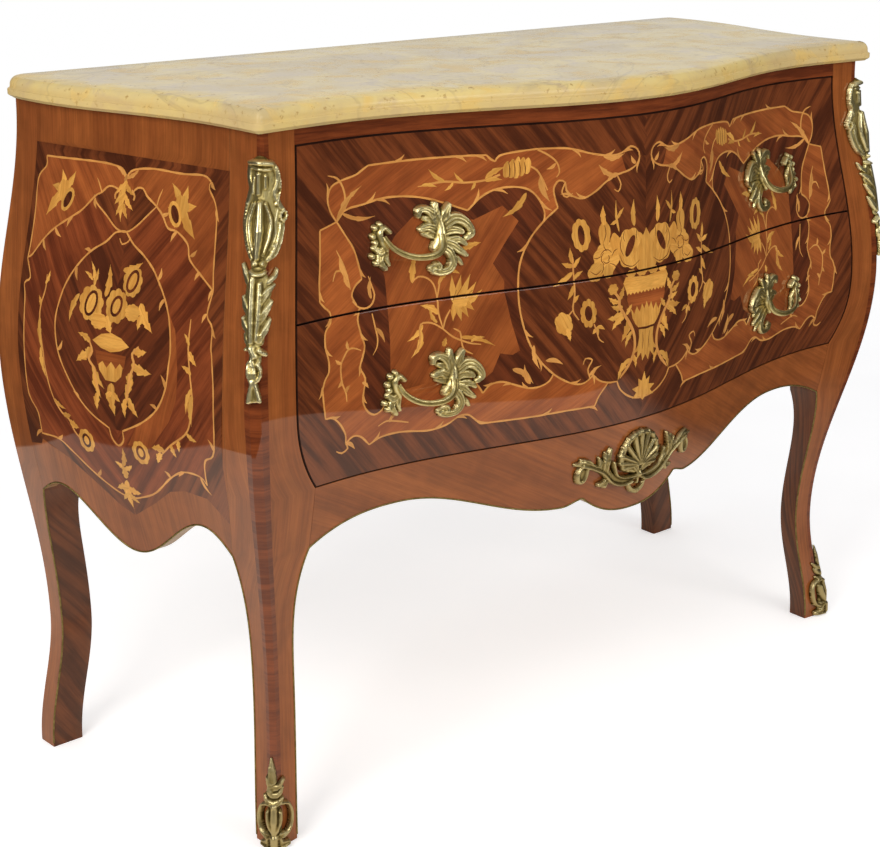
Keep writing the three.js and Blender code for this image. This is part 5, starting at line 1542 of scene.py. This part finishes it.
# %% Leaf and sprig of a pull
pull_cast = Casting()
pull_cast.add("plate", (
    ([(-40, -10), (-41, 6), (-42, 20)], (7, 11, 11), (2.5, 3, 2.5)),
    ([(-62, 9), (-50, 9), (-42, 8)], (7, 9, 9), 2.5),
    ([(-40, -10), (-46, -18)], (6, 5), 2.5),
    ([(36, -10), (37, 14)], (6, 6.5), 2.5),
))
pull_cast.add("leaf", (
    ([(-37, 12), (-33, 25), (-24, 32), (-16, 31), (-15, 25)], (5, 6, 5.4, 4.4, 3), (6, 7, 8, 8.5, 7)),
    ([(-36, 11), (-29, 19), (-22, 22)], (5, 5, 3.2), (5, 5.5, 4.5)),
    ([(-38, 14), (-36, 27), (-37, 37)], (5, 5.6, 3.2), (6, 8, 7)),
    ([(-43, 15), (-48, 26), (-53, 34)], (5, 5.8, 3.4), (6, 8, 7)),
    ([(-45, 12), (-56, 19), (-66, 17), (-74, 9), (-77, 1), (-71, -4)],
     (6.5, 7.4, 7, 5.6, 4.2, 3.4), (6, 7.5, 8.5, 8.5, 7.5, 7)),
    ([(-45, 5), (-56, 6), (-66, 3)], (5.4, 5.6, 3.8), (4.5, 5.5, 5)),
    ([(-35, 7), (-25, 12), (-16, 10)], (5.4, 5.2, 3.4), (5, 7, 6)),
    ([(-34, 1), (-26, 3), (-19, 5)], (4.6, 4.4, 2.8), (5, 5.5, 4.5)),
    ([(-42, -6), (-52, -10), (-59, -16), (-68, -23)], (5, 5.6, 5, 3.2), (5, 6.5, 6.5, 5)),
    ([(-48, -5), (-60, -5), (-69, -11)], (4.6, 4.8, 3), (4.5, 6, 4.5)),
    ([(-39, -10), (-48, -19), (-50, -29), (-44, -37), (-34, -39), (-26, -37)],
     (6, 5.6, 5.2, 5, 4.8, 4.4), (6, 7.5, 7.5, 7.5, 6.5, 6)),
    ([(-31, -32), (-23, -34)], (6.2, 4), (7, 4.5)),
    ([(-50, -22), (-58, -27), (-62, -33)], (3.6, 3.6, 2), (5, 5, 4)),
    ([(31, -4), (38, -8), (45, -4)], (4, 4.4, 3.6), (5, 6.5, 6)),
    ([(36, -9), (41, -17), (34, -27)], (4.8, 5, 3.2), (5, 7, 5.5)),
    ([(30, -8), (31, -17), (28, -24)], (3.6, 3.6, 2.2), (4.5, 5, 4)),
))
pull_cast.add("dome", (
    ([(-30, -12), (-35, -4), (-39, 4), (-40, 13), (-40, 22)], (5, 6, 6.5, 5.5, 3.5), (8, 10, 10, 8, 5)),
    ([(30, -6), (35, 4), (36, 13), (30, 17), (24, 12)], (4.4, 4.2, 4, 3.6, 3.8), (5, 6.5, 7.5, 7.5, 7)),
))
for place in ((41, 18), (34, 21), (45, 9), (49, -12), (45, -20), (43, 2)):
    pull_cast.bead(place, 3.8, 6)

# %% Bow
BOW_PATH = [(-38, 4, 9), (-36, -5, 12), (-29, -12, 17), (-14, -16, 22)]
BOW_PATH += [(6, -15, 22), (20, -10, 18), (29, -2, 12), (33, 8, 7)]
BOW_WIDTH = (4.6, 4.8, 4.2, 3.8, 3.5, 3.5, 3.2, 2.6)


def tube(path, radii, across_share, out_share, guide=None):
    """Points and faces of a closed tube along a path, with a section given as shares of its radii."""
    along = np.gradient(path, axis=0)
    along /= np.linalg.norm(along, axis=1)[:, None]
    if guide is None:
        guide = np.where(np.abs(along[:, 1:2]) > 0.9, (1.0, 0, 0), (0, 1.0, 0))
    across = np.cross(along, guide)
    across /= np.linalg.norm(across, axis=1)[:, None]
    out = np.cross(across, along)
    section = across_share[:, None] * across[:, None] + out_share[:, None] * out[:, None]
    points = (path[:, None] + radii * section).reshape(-1, 3)
    faces = loft_faces(len(path), len(across_share))
    fans = [(points[f[0]], points[f[i]], points[f[i + 1]]) for f in faces for i in range(1, len(f) - 1)]
    volume = sum(np.dot(a, np.cross(b, c)) for a, b, c in fans)
    return points, faces if volume > 0 else [f[::-1] for f in faces]


def make_bow(turns=20, steps=60):
    """The bow in millimetres, with a channel between its two rims."""
    t = np.linspace(0, len(BOW_PATH) - 1, steps)
    smooth = curve(BOW_PATH, 1) * 1000
    dense = np.linspace(0, len(BOW_PATH) - 1, len(smooth))
    path = np.stack([np.interp(t, dense, column) for column in smooth.T], 1)
    path = np.vstack([path[:1], (path[:-2] + 2 * path[1:-1] + path[2:]) / 4, path[-1:]])
    width = np.interp(t, np.arange(len(BOW_WIDTH)), BOW_WIDTH)
    turn = np.linspace(0, 2 * np.pi, turns, endpoint=False)
    channel = 0.26 * np.exp(-(((turn - np.pi / 2) / 0.42) ** 2))
    a, b = np.cos(turn) * (1 - channel * 0.3), 0.82 * np.sin(turn) * (1 - channel)
    return *tube(path, width[:, None, None], a, b, (0, 0, 1)), np.tile(channel * 3.2 - 0.25, steps)


MOUNT_GAP = 0.0005
PULL_X, UPPER_PULL, LOWER_PULL = 0.316, 0.708, 0.543
relief, bow = cast_mesh(pull_cast), make_bow()
pull_faces = [*relief[1], *[tuple(i + len(relief[0]) for i in f) for f in bow[1]]]
pull_mesh = np.vstack([relief[0], bow[0]]), pull_faces, np.concatenate([relief[2], bow[2]])


def on_front(x, z, rise):
    return np.stack([x, front_y(x, z) - MOUNT_GAP - rise, z], 1)


for drawer, height in (("upper", UPPER_PULL), ("lower", LOWER_PULL)):
    for word, side in SIDES:

        def drape_pull(u, v, rise):
            return on_front(side * (PULL_X + u), height + v, rise)

        pull = cast_piece(f"cast_{drawer}_pull_{word}", pull_mesh, drape_pull, side < 0, f"{drawer}_drawer")
        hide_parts(f"{drawer}_pull_{word}")
print("pull:", len(pull_faces), "faces")

# %% [markdown]
# The corner mounts bend round the arris of the front legs. At the top a scrolled cap, a ribbed
# cartouche with an ear, a collar, a long leaf and a pendant bud; at the foot a stack of small leaves
# over a shell between two open scrolls.

# %% Strokes of the corner mounts
corner_cast = Casting()
corner_cast.add("plate", (
    ([(2, 154), (2, 178), (1, 203)], (9, 15, 10), (2.5, 4, 2.5)),
    ([(1, 205), (2, 242)], (10, 12), 2.5),
    ([(-8, 242), (-11, 222), (-11, 204), (-14, 188), (-13, 170), (-7, 152)], (5, 6, 7, 9, 7, 5), 2.5),
    ([(9, 240), (10, 220), (12, 200), (14, 184), (12, 166), (7, 150)], (4, 4, 4, 4.5, 4, 4), 2.5),
    ([(6, 150), (1, 140), (-5, 150)], (6, 7, 6), 2.5),
    ([(-3, 132), (-10, 118), (-7, 100), (-6, 82), (-5, 66)], (6, 6, 5, 4.5, 4), 2.2),
    ([(9, 130), (11, 110), (10, 92), (8, 72)], (5, 4.5, 4, 3), 2.2),
    ([(2, 62), (0, 52), (0, 40)], (6, 6.5, 4), 2.5),
    ([(4, 130), (3, 100), (3, 66)], (10, 9, 6), 2.5),
    ([(1, 22), (0.5, 6)], (3, 4), 4),
))
corner_cast.add("leaf", (
    ([(13, 246), (15, 233), (12, 220), (16, 204), (19, 189), (18, 174), (14, 160), (9, 151)],
     (3, 3, 3.2, 3.2, 3.4, 3.4, 3, 2.6), (6, 6, 6, 7, 7, 7, 6, 6)),
    ([(-11, 246), (-16, 237), (-17, 226), (-14, 215), (-19, 204), (-25, 197)],
     (3, 3.2, 3.4, 3.2, 3.4, 3), (6, 7, 7, 6, 7, 7)),
    ([(-25, 186), (-24, 178), (-21, 166), (-16, 155), (-9, 149)], (3, 4.2, 4.6, 4.2, 3), (7, 7, 7, 7, 6)),
    ([(-19, 200), (-16, 186), (-17, 172), (-12, 158)], (2.6, 3.4, 3.6, 2.6), (5, 6, 6, 5)),
    ([(23, 142), (18, 135), (12, 126)], (1.6, 3, 3), (4, 5, 5)),
    ([(-21, 137), (-18, 131), (-11, 126)], (1.8, 3.4, 3), (5, 6, 5)),
    ([(0, 104), (-9, 116), (-18, 122)], (4.2, 4.4, 2), (5, 7, 5)),
    ([(-1, 86), (-8, 96), (-15, 106)], (4, 4.4, 2.2), (5, 7, 6)),
    ([(-2, 68), (-9, 78), (-14, 88)], (3.6, 4, 2.2), (5, 7, 5)),
    ([(7, 92), (13, 101), (18, 110)], (3.6, 3.8, 1.8), (4, 6, 5)),
    ([(7, 74), (13, 82), (17, 89)], (3.4, 3.6, 1.8), (4, 6, 5)),
    ([(7, 62), (10, 67), (13, 73)], (3, 2.8, 1.6), (4, 5, 4)),
    ([(8, 122), (14, 126)], (3.6, 2.4), (5, 4)),
    ([(4, 44), (3, 34), (2, 24)], (4.4, 5, 3.4), (7, 9, 7)),
))
corner_cast.add("dome", (
    ([(12, 247), (1, 248), (-10, 246)], (3.4, 3.8, 3.4), (8, 10, 8)),
    ([(11, 242), (1, 241), (-9, 240)], (2, 2.2, 2), (5, 6, 5)),
    ([(3, 236), (3, 216)], (2.6, 2.2), (8, 7)),
    ([(-4, 234), (-4, 222)], (2.2, 2), (7, 6)),
    ([(8, 232), (9, 216)], 2, 5),
    ([(1, 207), (1, 178), (2, 151)], (2.6, 4.2, 2.6), (9, 12, 9)),
    ([(-4, 206), (-9, 188), (-8, 172), (-3, 154)], (1.8, 2.4, 2.4, 1.8), (7, 9, 9, 7)),
    ([(6, 206), (10, 188), (9, 172), (5, 154)], (1.8, 2.4, 2.4, 1.8), (7, 9, 9, 7)),
    ([(10, 205), (15, 188), (14, 172), (9, 156)], (1.5, 1.8, 1.8, 1.5), (5, 6, 6, 5)),
    ([(8, 137), (1, 135), (-6, 137)], (2.6, 2.8, 2.6), (8, 10, 8)),
    ([(5, 131), (4.5, 100), (4, 66)], (3.4, 3, 2.4), (9, 9, 7)),
    ([(-1, 126), (-1, 96), (0, 68)], (2.6, 2.8, 2), (7, 7, 6)),
    ([(4, 60), (1, 52)], (4, 3.4), 6),
    ([(-3, 58), (-10, 53)], (3, 3.2), 6),
    ([(-2, 44), (-5, 36), (-2, 26)], (2.4, 3, 2.2), (6, 7, 6)),
    ([(3, 50), (3, 42)], (2.4, 2.6), (5, 6)),
    ([(2, 26), (4, 14), (5, 4)], (2.6, 2.6, 3), 7),
    ([(1, 26), (-2, 14), (-4, 5)], (2.4, 2.4, 2.8), (6, 6, 7)),
))
for turn in np.linspace(0, 2 * math.pi, 9)[:-1]:
    corner_cast.bead((-25 + 4.4 * math.cos(turn), 191 + 4.8 * math.sin(turn)), 2.4, 7.5)
for x, up, radius, height in ((4, 146, 3.6, 8), (-3, 146, 3.6, 8), (10, 58, 2.6, 5), (-14, 162, 2.2, 7)):
    corner_cast.bead((x, up), radius, height)
for step in np.linspace(0, 1, 14):
    corner_cast.bead((mix(-15, -20, math.sin(math.pi * step)), mix(240, 204, step)), 1.7, 7.5)
    corner_cast.bead((mix(-20, -10, step**2), mix(184, 152, step)), 1.7, 8)
    corner_cast.bead((16 + 3 * math.sin(math.pi * step) - 5 * step**2, mix(204, 156, step)), 1.5, 7.5)

foot_cast = Casting()
foot_cast.add("plate", (
    ([(0, 20), (0, 60), (1, 84)], (9, 7, 4), (2.5, 2.5, 2)),
))
foot_cast.add("leaf", (
    ([(1, 84), (2, 96), (2.4, 110)], (4.4, 4, 1.2), (6, 6, 3)),
    ([(1, 76), (5, 82), (7, 89)], (3.6, 3.2, 1.8), (6, 7, 6)),
    ([(1, 76), (-6, 79), (-12, 85)], (3.8, 3.6, 1.8), (6, 7, 6)),
    ([(0, 68), (-6, 70), (-10, 76)], (3.6, 3.6, 2), (7, 8, 6)),
    ([(1, 68), (4, 72), (5, 79)], (3.6, 3.2, 1.8), (7, 8, 6)),
    ([(1, 58), (7, 60), (11, 66)], (4, 3.4, 2), (7, 7, 6)),
    ([(0, 58), (-6, 60), (-10, 63)], (4, 3.4, 2.2), (7, 7, 6)),
    ([(0, 18), (9, 18), (17, 20)], (4.6, 3.6, 2.2), (8, 7, 5)),
    ([(0, 18), (-9, 18), (-19, 21)], (4.6, 3.6, 2.2), (8, 7, 5)),
    ([(2, 16), (8, 8), (15, 6)], (4, 4, 3), (9, 9, 7)),
    ([(-2, 16), (-8, 8), (-16, 6)], (4, 4, 3), (9, 9, 7)),
))
foot_cast.add("dome", (
    ([(2, 58), (9, 56), (15, 52), (19, 43), (19, 31), (15, 21), (8, 15)],
     (3, 2.6, 2.8, 3, 3, 3, 3), (6, 6, 6, 7, 7, 7, 7)),
    ([(-1, 58), (-10, 57), (-17, 53), (-21, 44), (-21, 32), (-17, 22), (-10, 16)],
     (3, 2.6, 2.8, 3, 3, 3, 3), (6, 6, 6, 7, 7, 7, 7)),
    ([(0, 22), (0, 38), (0, 54)], (3, 4.2, 3.4), (10, 11, 9)),
    ([(1, 22), (5, 36), (6, 49)], (2.4, 3.2, 2.4), (8, 9, 8)),
    ([(-1, 22), (-6, 36), (-7, 48)], (2.4, 3.2, 2.4), (8, 9, 8)),
    ([(0, 18), (0, 5)], (4.6, 4), 12),
    ([(-16, 4), (0, 3), (15, 4)], (2.6, 3, 2.6), (7, 10, 7)),
))
foot_cast.bead((0, 56), 3.6, 10)

# %% Bend the mounts round the corner
CORNER_GAP, TURN_REACH = 0.0008, 0.015
CORNER_BASE, FOOT_BASE, LOWEST = 0.5658, 0.0008, 0.2


def on_corner(side, across, z, rise):
    """Along the front, over the flat arris and along the side."""
    flat, corner_x, corner_front = at_height(z, ARRIS), at_height(z, FRONT_HALF), corner_y(z)
    half = flat * math.sqrt(0.5)
    turn = np.clip(across / (2 * half), -0.5, 0.5)
    x = corner_x + flat * (turn - 0.5)
    y = corner_front + flat * (turn + 0.5)
    before, after = across < -half, across > half
    x = np.where(before, corner_x - flat + across + half, x)
    y = np.where(before, front_y(x, z), y)
    y = np.where(after, corner_front + flat + across - half, y)
    x = np.where(after, side_x(y, z), x)
    facing = (np.pi / 4) * (1 + np.clip(across / TURN_REACH, -1, 1))
    out = CORNER_GAP + rise
    return np.stack([side * (x + np.sin(facing) * out), y - np.cos(facing) * out, z], 1)


# The corner mounts take the brass painted lighter and the foot mounts the brass painted darker, as painted
# light and shade.
for cast, name, node, base, brass in (
    (corner_cast, "cast_corner_mount", "corner_mount", CORNER_BASE, PAINTED_LIGHT_BRASS),
    (foot_cast, "cast_foot_mount", "foot_mount", FOOT_BASE, PAINTED_SHADE_BRASS),
):
    mesh = cast_mesh(cast)
    mesh[0][:, 1] = np.maximum(mesh[0][:, 1], LOWEST)
    for word, side in SIDES:

        def drape_mount(u, v, rise):
            return on_corner(side, u, base + v, rise)

        mount = cast_piece(f"{name}_{word}", mesh, drape_mount, side < 0, brass=brass)
        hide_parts(f"{node}_{word}")
    print(name, len(mesh[1]), "faces")

# %% [markdown]
# In the middle of the apron sits a shell between two leafy arms.

# %% Apron mount
SHELL_RIM = [(0, 30.5), (11, 28.5), (19.5, 23.5), (27, 14), (31, 4), (30.5, -5), (26, -12), (18, -16)]
SHELL_RIM += [(8, -20)]
SHELL_RIBS = ((90, 42), (73, 41), (50, 38), (27, 34), (11, 31), (-4, 26))
ARM_STROKES = (
    ([(6, -29), (18, -31), (32, -29), (44, -22), (52, -13), (60, -8)], (5, 5, 5, 5, 5, 4), 4, "plate"),
    ([(10, -34), (20, -36), (33, -34), (45, -28), (55, -18), (63, -11), (72, -6), (82, -1), (93, 3)],
     2.4, 8, "dome"),
    ([(4, -27), (14, -27), (27, -25), (37, -20), (42, -11), (45, -1)],
     (2.2, 2.2, 2.2, 2.2, 2, 2.6), 8, "dome"),
    ([(50, -18), (60, -10), (72, -3), (84, 2)], (4, 4, 4, 4.4), (6, 6.5, 6.5, 6), "leaf"),
    ([(58, -12), (56, 3), (50, 18)], (5, 5.4, 2.2), (7, 9, 6), "leaf"),
    ([(54, -15), (57, 0), (58, 14)], (4.4, 4.6, 2), (6, 8, 6), "leaf"),
    ([(60, -9), (64, 1), (67, 9)], (4, 4.2, 1.8), (6, 7, 5), "leaf"),
    ([(74, -3), (84, 6), (94, 11)], (4, 4.8, 2.2), (6, 7, 5), "leaf"),
    ([(80, 0), (91, 5), (102, 6)], (4, 5, 2.4), (6, 7.5, 5), "leaf"),
    ([(85, 0), (86, -10), (90, -18), (96, -17), (98, -8), (94, 0)],
     (3.2, 3.4, 3.6, 3.4, 3, 2.6), 6.5, "dome"),
    ([(91, -4), (92, -14)], 4.5, 4, "plate"),
    ([(50, -21), (56, -27), (63, -28)], (3.2, 4.8, 3.4), (5, 7, 6.5), "leaf"),
    ([(52, -26), (55, -32)], (2.6, 3), (5, 6), "dome"),
    ([(2, -22), (8, -14), (16, -9)], (3.4, 4.6, 2), (9, 10.5, 7), "leaf"),
    ([(0, -50), (9, -46), (15, -36)], (4, 3.6, 2.4), (7, 6.5, 6), "leaf"),
)
apron_cast = Casting()
apron_cast.stroke([(0, -12), (0, 24)], (8, 9), 3, "plate")
for sign in (-1, 1):
    apron_cast.stroke([(sign * u, v) for u, v in SHELL_RIM], 4.4, 6, "dome")
    for degrees, length in SHELL_RIBS:
        angle = math.radians(degrees)
        tip = (sign * length * math.cos(angle), length * math.sin(angle) - 12)
        apron_cast.stroke([(0, -12), tip], (3, 4.3), (7, 6), "plate")
        apron_cast.stroke([(0, -12), tip], (2, 2.6), (8.5, 7.5), "dome")
    for u, v in SHELL_RIM[:-1]:
        apron_cast.bead((sign * 1.06 * u, 1.06 * v - 0.5), 3.8, 6.6)
    for points, radii, heights, kind in ARM_STROKES:
        apron_cast.stroke([(sign * u, v) for u, v in points], radii, heights, kind)
apron_cast.bead((0, -25), 6, 10)
apron_cast.stroke([(0, -28), (0, -38)], (3.4, 2.4), 7, "leaf")
SHELL_HEIGHT = 0.401


def drape_shell(u, v, rise):
    return on_front(u, SHELL_HEIGHT + v, rise)


mesh = cast_mesh(apron_cast)
# The apron mount takes the brass painted darker, as painted shade.
mount = cast_piece("cast_apron_mount", mesh, drape_shell, brass=PAINTED_SHADE_BRASS)
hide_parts("apron_mount")
print("apron mount:", len(mesh[1]), "faces")

# %% [markdown]
# A thin brass bead is let into the lower edges of the aprons and runs down the inner edges of the
# legs. It is a fine tube swept along those edges, half sunk into the corner of the wood.

# %% Edge beads
BEAD, BEAD_FOOT, TARNISH = 0.0011, 0.006, 0.45


def bead(name, path, sides=8):
    """A thin brass tube along a path in space."""
    turn = np.linspace(0, 2 * np.pi, sides, endpoint=False)
    points, faces = tube(path, BEAD, np.cos(turn), np.sin(turn))
    cast = points * 1000, faces, np.full(len(points), TARNISH)
    print(name, len(faces), "faces")
    return cast_piece(name, cast, lambda *parts: np.stack(parts, 1))


heights = np.linspace(BEAD_FOOT, FRONT_KNEE, 90)
leg_line = np.stack([post_inner_x(heights), heights], 1)
apron_line = np.stack([apron_half, apron_edge(apron_half)], 1)[::-1]
half_line = np.vstack([leg_line, apron_line])
whole_line = np.vstack([half_line, (half_line * (-1, 1))[::-1][1:]])
front_path = np.stack([whole_line[:, 0], front_y(whole_line[:, 0], whole_line[:, 1]), whole_line[:, 1]], 1)
bead("front_edge_bead", front_path)
heights = np.linspace(BEAD_FOOT, SIDE_KNEE, 70)
front_run = np.stack([corner_y(heights) + post_side_width(heights), heights], 1)
heights = np.linspace(REAR_KNEE, BEAD_FOOT, 70)
back_run = np.stack([rear_front_y(heights), heights], 1)
y, z = np.vstack([front_run, foot_edge, back_run]).T
for word, side in SIDES:
    bead(f"side_edge_bead_{word}", np.stack([side * side_x(y, z), y, z], 1))

# %% [markdown]
# ## Plain wood and steel
#
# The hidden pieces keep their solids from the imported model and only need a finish: a pale secondary
# wood with long soft grain for boards, runners and drawer boxes, and a turned steel for the screws.

# %% Finishes of the hidden pieces
def make_plain_wood(name, stretch):
    material, n, shader = new_material(name)
    long = n.add("ShaderNodeMapping", {"Vector": n.place(), "Scale": stretch}).outputs[0]
    grain = n.noise(long, 1.0, 4.0, 0.6, 0.4)
    rays = n.noise(long, 6.0, 2.0, 0.5)
    wood = n.mix_colour(n.span(grain, 0.35, 0.65), srgb(206, 170, 122), srgb(170, 128, 82))
    wood = n.mix_colour(n.span(rays, 0.5, 0.75, 0.0, 0.35), wood, srgb(140, 98, 58))
    rough = n.span(rays, 0.3, 0.7, 0.6, 0.75)
    n.fill(shader, {"Base Color": wood, "Roughness": rough, "Normal": n.bump(grain, 0.0003)})
    return material


def make_steel():
    material, n, shader = new_material("screw_steel")
    scratches = n.noise(n.place(), 900.0, 2.0, 0.5)
    steel = n.mix_colour(n.span(scratches, 0.4, 0.7), srgb(196, 192, 186), srgb(128, 120, 112))
    rough = n.span(scratches, 0.3, 0.7, 0.3, 0.5)
    n.fill(shader, {"Base Color": steel, "Roughness": rough, "Metallic": 1.0})
    return material


STEEL = make_steel()
BOARD_WOOD = make_plain_wood("plain_wood_across", (3.0, 60.0, 60.0))
RAIL_WOOD = make_plain_wood("plain_wood_along", (60.0, 3.0, 60.0))
for name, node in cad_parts.items():
    lengthwise = "drawer_side" in name or "runner" in name
    node.data.materials.clear()
    node.data.materials.append(STEEL if "screw" in name else RAIL_WOOD if lengthwise else BOARD_WOOD)
print("plain finishes on", len(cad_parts), "nodes")

# %% [markdown]
# ## Camera
#
# The camera stands 1.1 m up, in front of the chest and to its left, and looks slightly down. Its
# place was fitted to the corners of the slab and of the legs.

# %% Camera
PHOTO_WIDTH, FOCAL_PIXELS, SENSOR = 880, 1705.94, 36.0
camera_data = bpy.data.cameras.new("camera")
camera_data.sensor_fit = "HORIZONTAL"
camera_data.sensor_width = SENSOR
camera_data.lens = FOCAL_PIXELS / PHOTO_WIDTH * SENSOR
camera = bpy.data.objects.new("camera", camera_data)
bpy.context.scene.collection.objects.link(camera)
CAMERA_PLACE = Vector((-1.4913, -1.6315, 1.1189))
CAMERA_TARGET = Vector((-0.0893, 0.0340, 0.3884))
camera.location = CAMERA_PLACE
camera.rotation_euler = (CAMERA_TARGET - CAMERA_PLACE).to_track_quat("-Z", "Y").to_euler()
bpy.context.scene.camera = camera
print("lens", round(camera_data.lens, 2), "mm")

# %% [markdown]
# ## Light, world and floor
#
# The varnish is a mirror over dark wood, so what it reflects matters as much as the lamps. The floor
# runs on round the chest, but to mirror rays it is painted dark beyond lines in front of the chest and
# beside it, and tinted warm within them. This paints the reflection: below about the middle of the
# lower drawer the varnish mirrors pale floor and looks milky, and above it mirrors a darker world.
# The world is white to the camera and to reflections that look past the chest, dim to reflections
# that look out in front, and a plain grey light to everything else.

# %% World
def make_world():
    world = bpy.data.worlds.new("studio")
    world.use_nodes = True
    n = Nodes(world.node_tree)
    n.tree.nodes.clear()
    path = n.add("ShaderNodeLightPath").outputs
    parts = n.parts(n.add("ShaderNodeTexCoord").outputs["Generated"])
    behind = n.times(n.span(parts[1], 0.1, 0.4), n.span(parts[0], 0.0, 0.3))
    above = n.span(parts[2], 0.5, 0.95, 0.0, 0.5)
    pale = n.math("MAXIMUM", behind, above)
    mirrored = n.mix_colour(pale, (0.025, 0.022, 0.02, 1), (0.8, 0.8, 0.8, 1))
    mirror_ray = n.math("MAXIMUM", path["Is Glossy Ray"], path["Is Transmission Ray"])
    seen = n.mix_colour(mirror_ray, (0.55, 0.55, 0.56, 1), mirrored)
    colour = n.mix_colour(path["Is Camera Ray"], seen, (1, 1, 1, 1))
    background = n.add("ShaderNodeBackground", {"Color": colour, "Strength": 1.0}).outputs[0]
    n.add("ShaderNodeOutputWorld", {0: background})
    bpy.context.scene.world = world


make_world()

# %% Lamps
def area_lamp(name, place, target, width, height, power, colour):
    lamp = bpy.data.lights.new(name, "AREA")
    lamp.shape, lamp.size, lamp.size_y = "RECTANGLE", width, height
    lamp.energy, lamp.color = power, colour
    piece = bpy.data.objects.new(name, lamp)
    piece.location = place
    piece.rotation_euler = (Vector(target) - Vector(place)).to_track_quat("-Z", "Y").to_euler()
    bpy.context.scene.collection.objects.link(piece)


area_lamp("key_left", (-2.6, -1.0, 2.1), (-0.3, 0.0, 0.5), 1.2, 1.2, 38, (1.0, 0.97, 0.93))
area_lamp("fill_front", (0.6, -2.8, 1.9), (0.0, 0.0, 0.5), 1.6, 1.0, 23, (1.0, 0.98, 0.96))

# %% Floor
FLOOR_FRONT, FLOOR_BACK, FLOOR_SIDE = -1.75, 2.4, 2.6
# Lines, softness and warm tint of the floor as mirror rays see it: a painted reflection on the varnish.
MIRROR_LEFT, MIRROR_RIGHT, MIRROR_BACK, MIRROR_FRONT = -1.30, 0.70, 0.75, -1.38
MIRROR_SLANT, MIRROR_DARK, EDGE_SOFT, RIGHT_SOFT = 1.25, 0.97, 0.03, 0.35
WARM_GREEN, WARM_BLUE, FLOOR_GLOW = 0.93, 0.8, 0.42


def make_floor():
    material, n, shader = new_material("pale_floor")
    path = n.add("ShaderNodeLightPath").outputs
    soft = n.span(n.noise(n.place(), 3.0, 2.0), 0.3, 0.7, 0.90, 0.94)
    x, y, _ = n.parts(n.place())
    # To mirror rays only, the floor is painted dark beyond those lines and warm within them: a painted
    # reflection that sets where the varnish looks milky.
    behind = n.math("MAXIMUM", n.math("SUBTRACT", y, MIRROR_BACK), 0.0)
    across = n.math("SUBTRACT", x, n.times(behind, MIRROR_SLANT))
    left = n.span(across, MIRROR_LEFT + EDGE_SOFT, MIRROR_LEFT, 0.0, MIRROR_DARK)
    right = n.span(x, MIRROR_RIGHT, MIRROR_RIGHT + RIGHT_SOFT, 0.0, MIRROR_DARK)
    front = n.span(y, MIRROR_FRONT + EDGE_SOFT, MIRROR_FRONT, 0.0, MIRROR_DARK)
    dark = n.math("MAXIMUM", n.math("MAXIMUM", left, right), front)
    shown = n.times(soft, n.math("SUBTRACT", 1.0, dark))
    warm = n.colour(shown, n.times(shown, WARM_GREEN), n.times(shown, WARM_BLUE))
    done = n.mix_colour(path["Is Glossy Ray"], n.colour(soft, soft, soft), warm)
    n.fill(shader, {"Base Color": done, "Roughness": 0.6, "Specular IOR Level": 0.0})
    glow = n.times(path["Is Camera Ray"], FLOOR_GLOW)
    n.fill(shader, {"Emission Color": (1, 1, 1, 1), "Emission Strength": glow})
    return material


floor_mesh = bpy.data.meshes.new("floor")
cells = 24
xs, ys = np.linspace(-FLOOR_SIDE, FLOOR_SIDE, cells), np.linspace(FLOOR_FRONT, FLOOR_BACK, cells)
floor_points = [(x, y, 0.0) for y in ys for x in xs]
floor_mesh.from_pydata(floor_points, [], grid_faces(cells, cells))
floor_mesh.materials.append(make_floor())
floor = bpy.data.objects.new("floor", floor_mesh)
bpy.context.scene.collection.objects.link(floor)

# %% Finish
bpy.context.scene.view_settings.view_transform = "Standard"
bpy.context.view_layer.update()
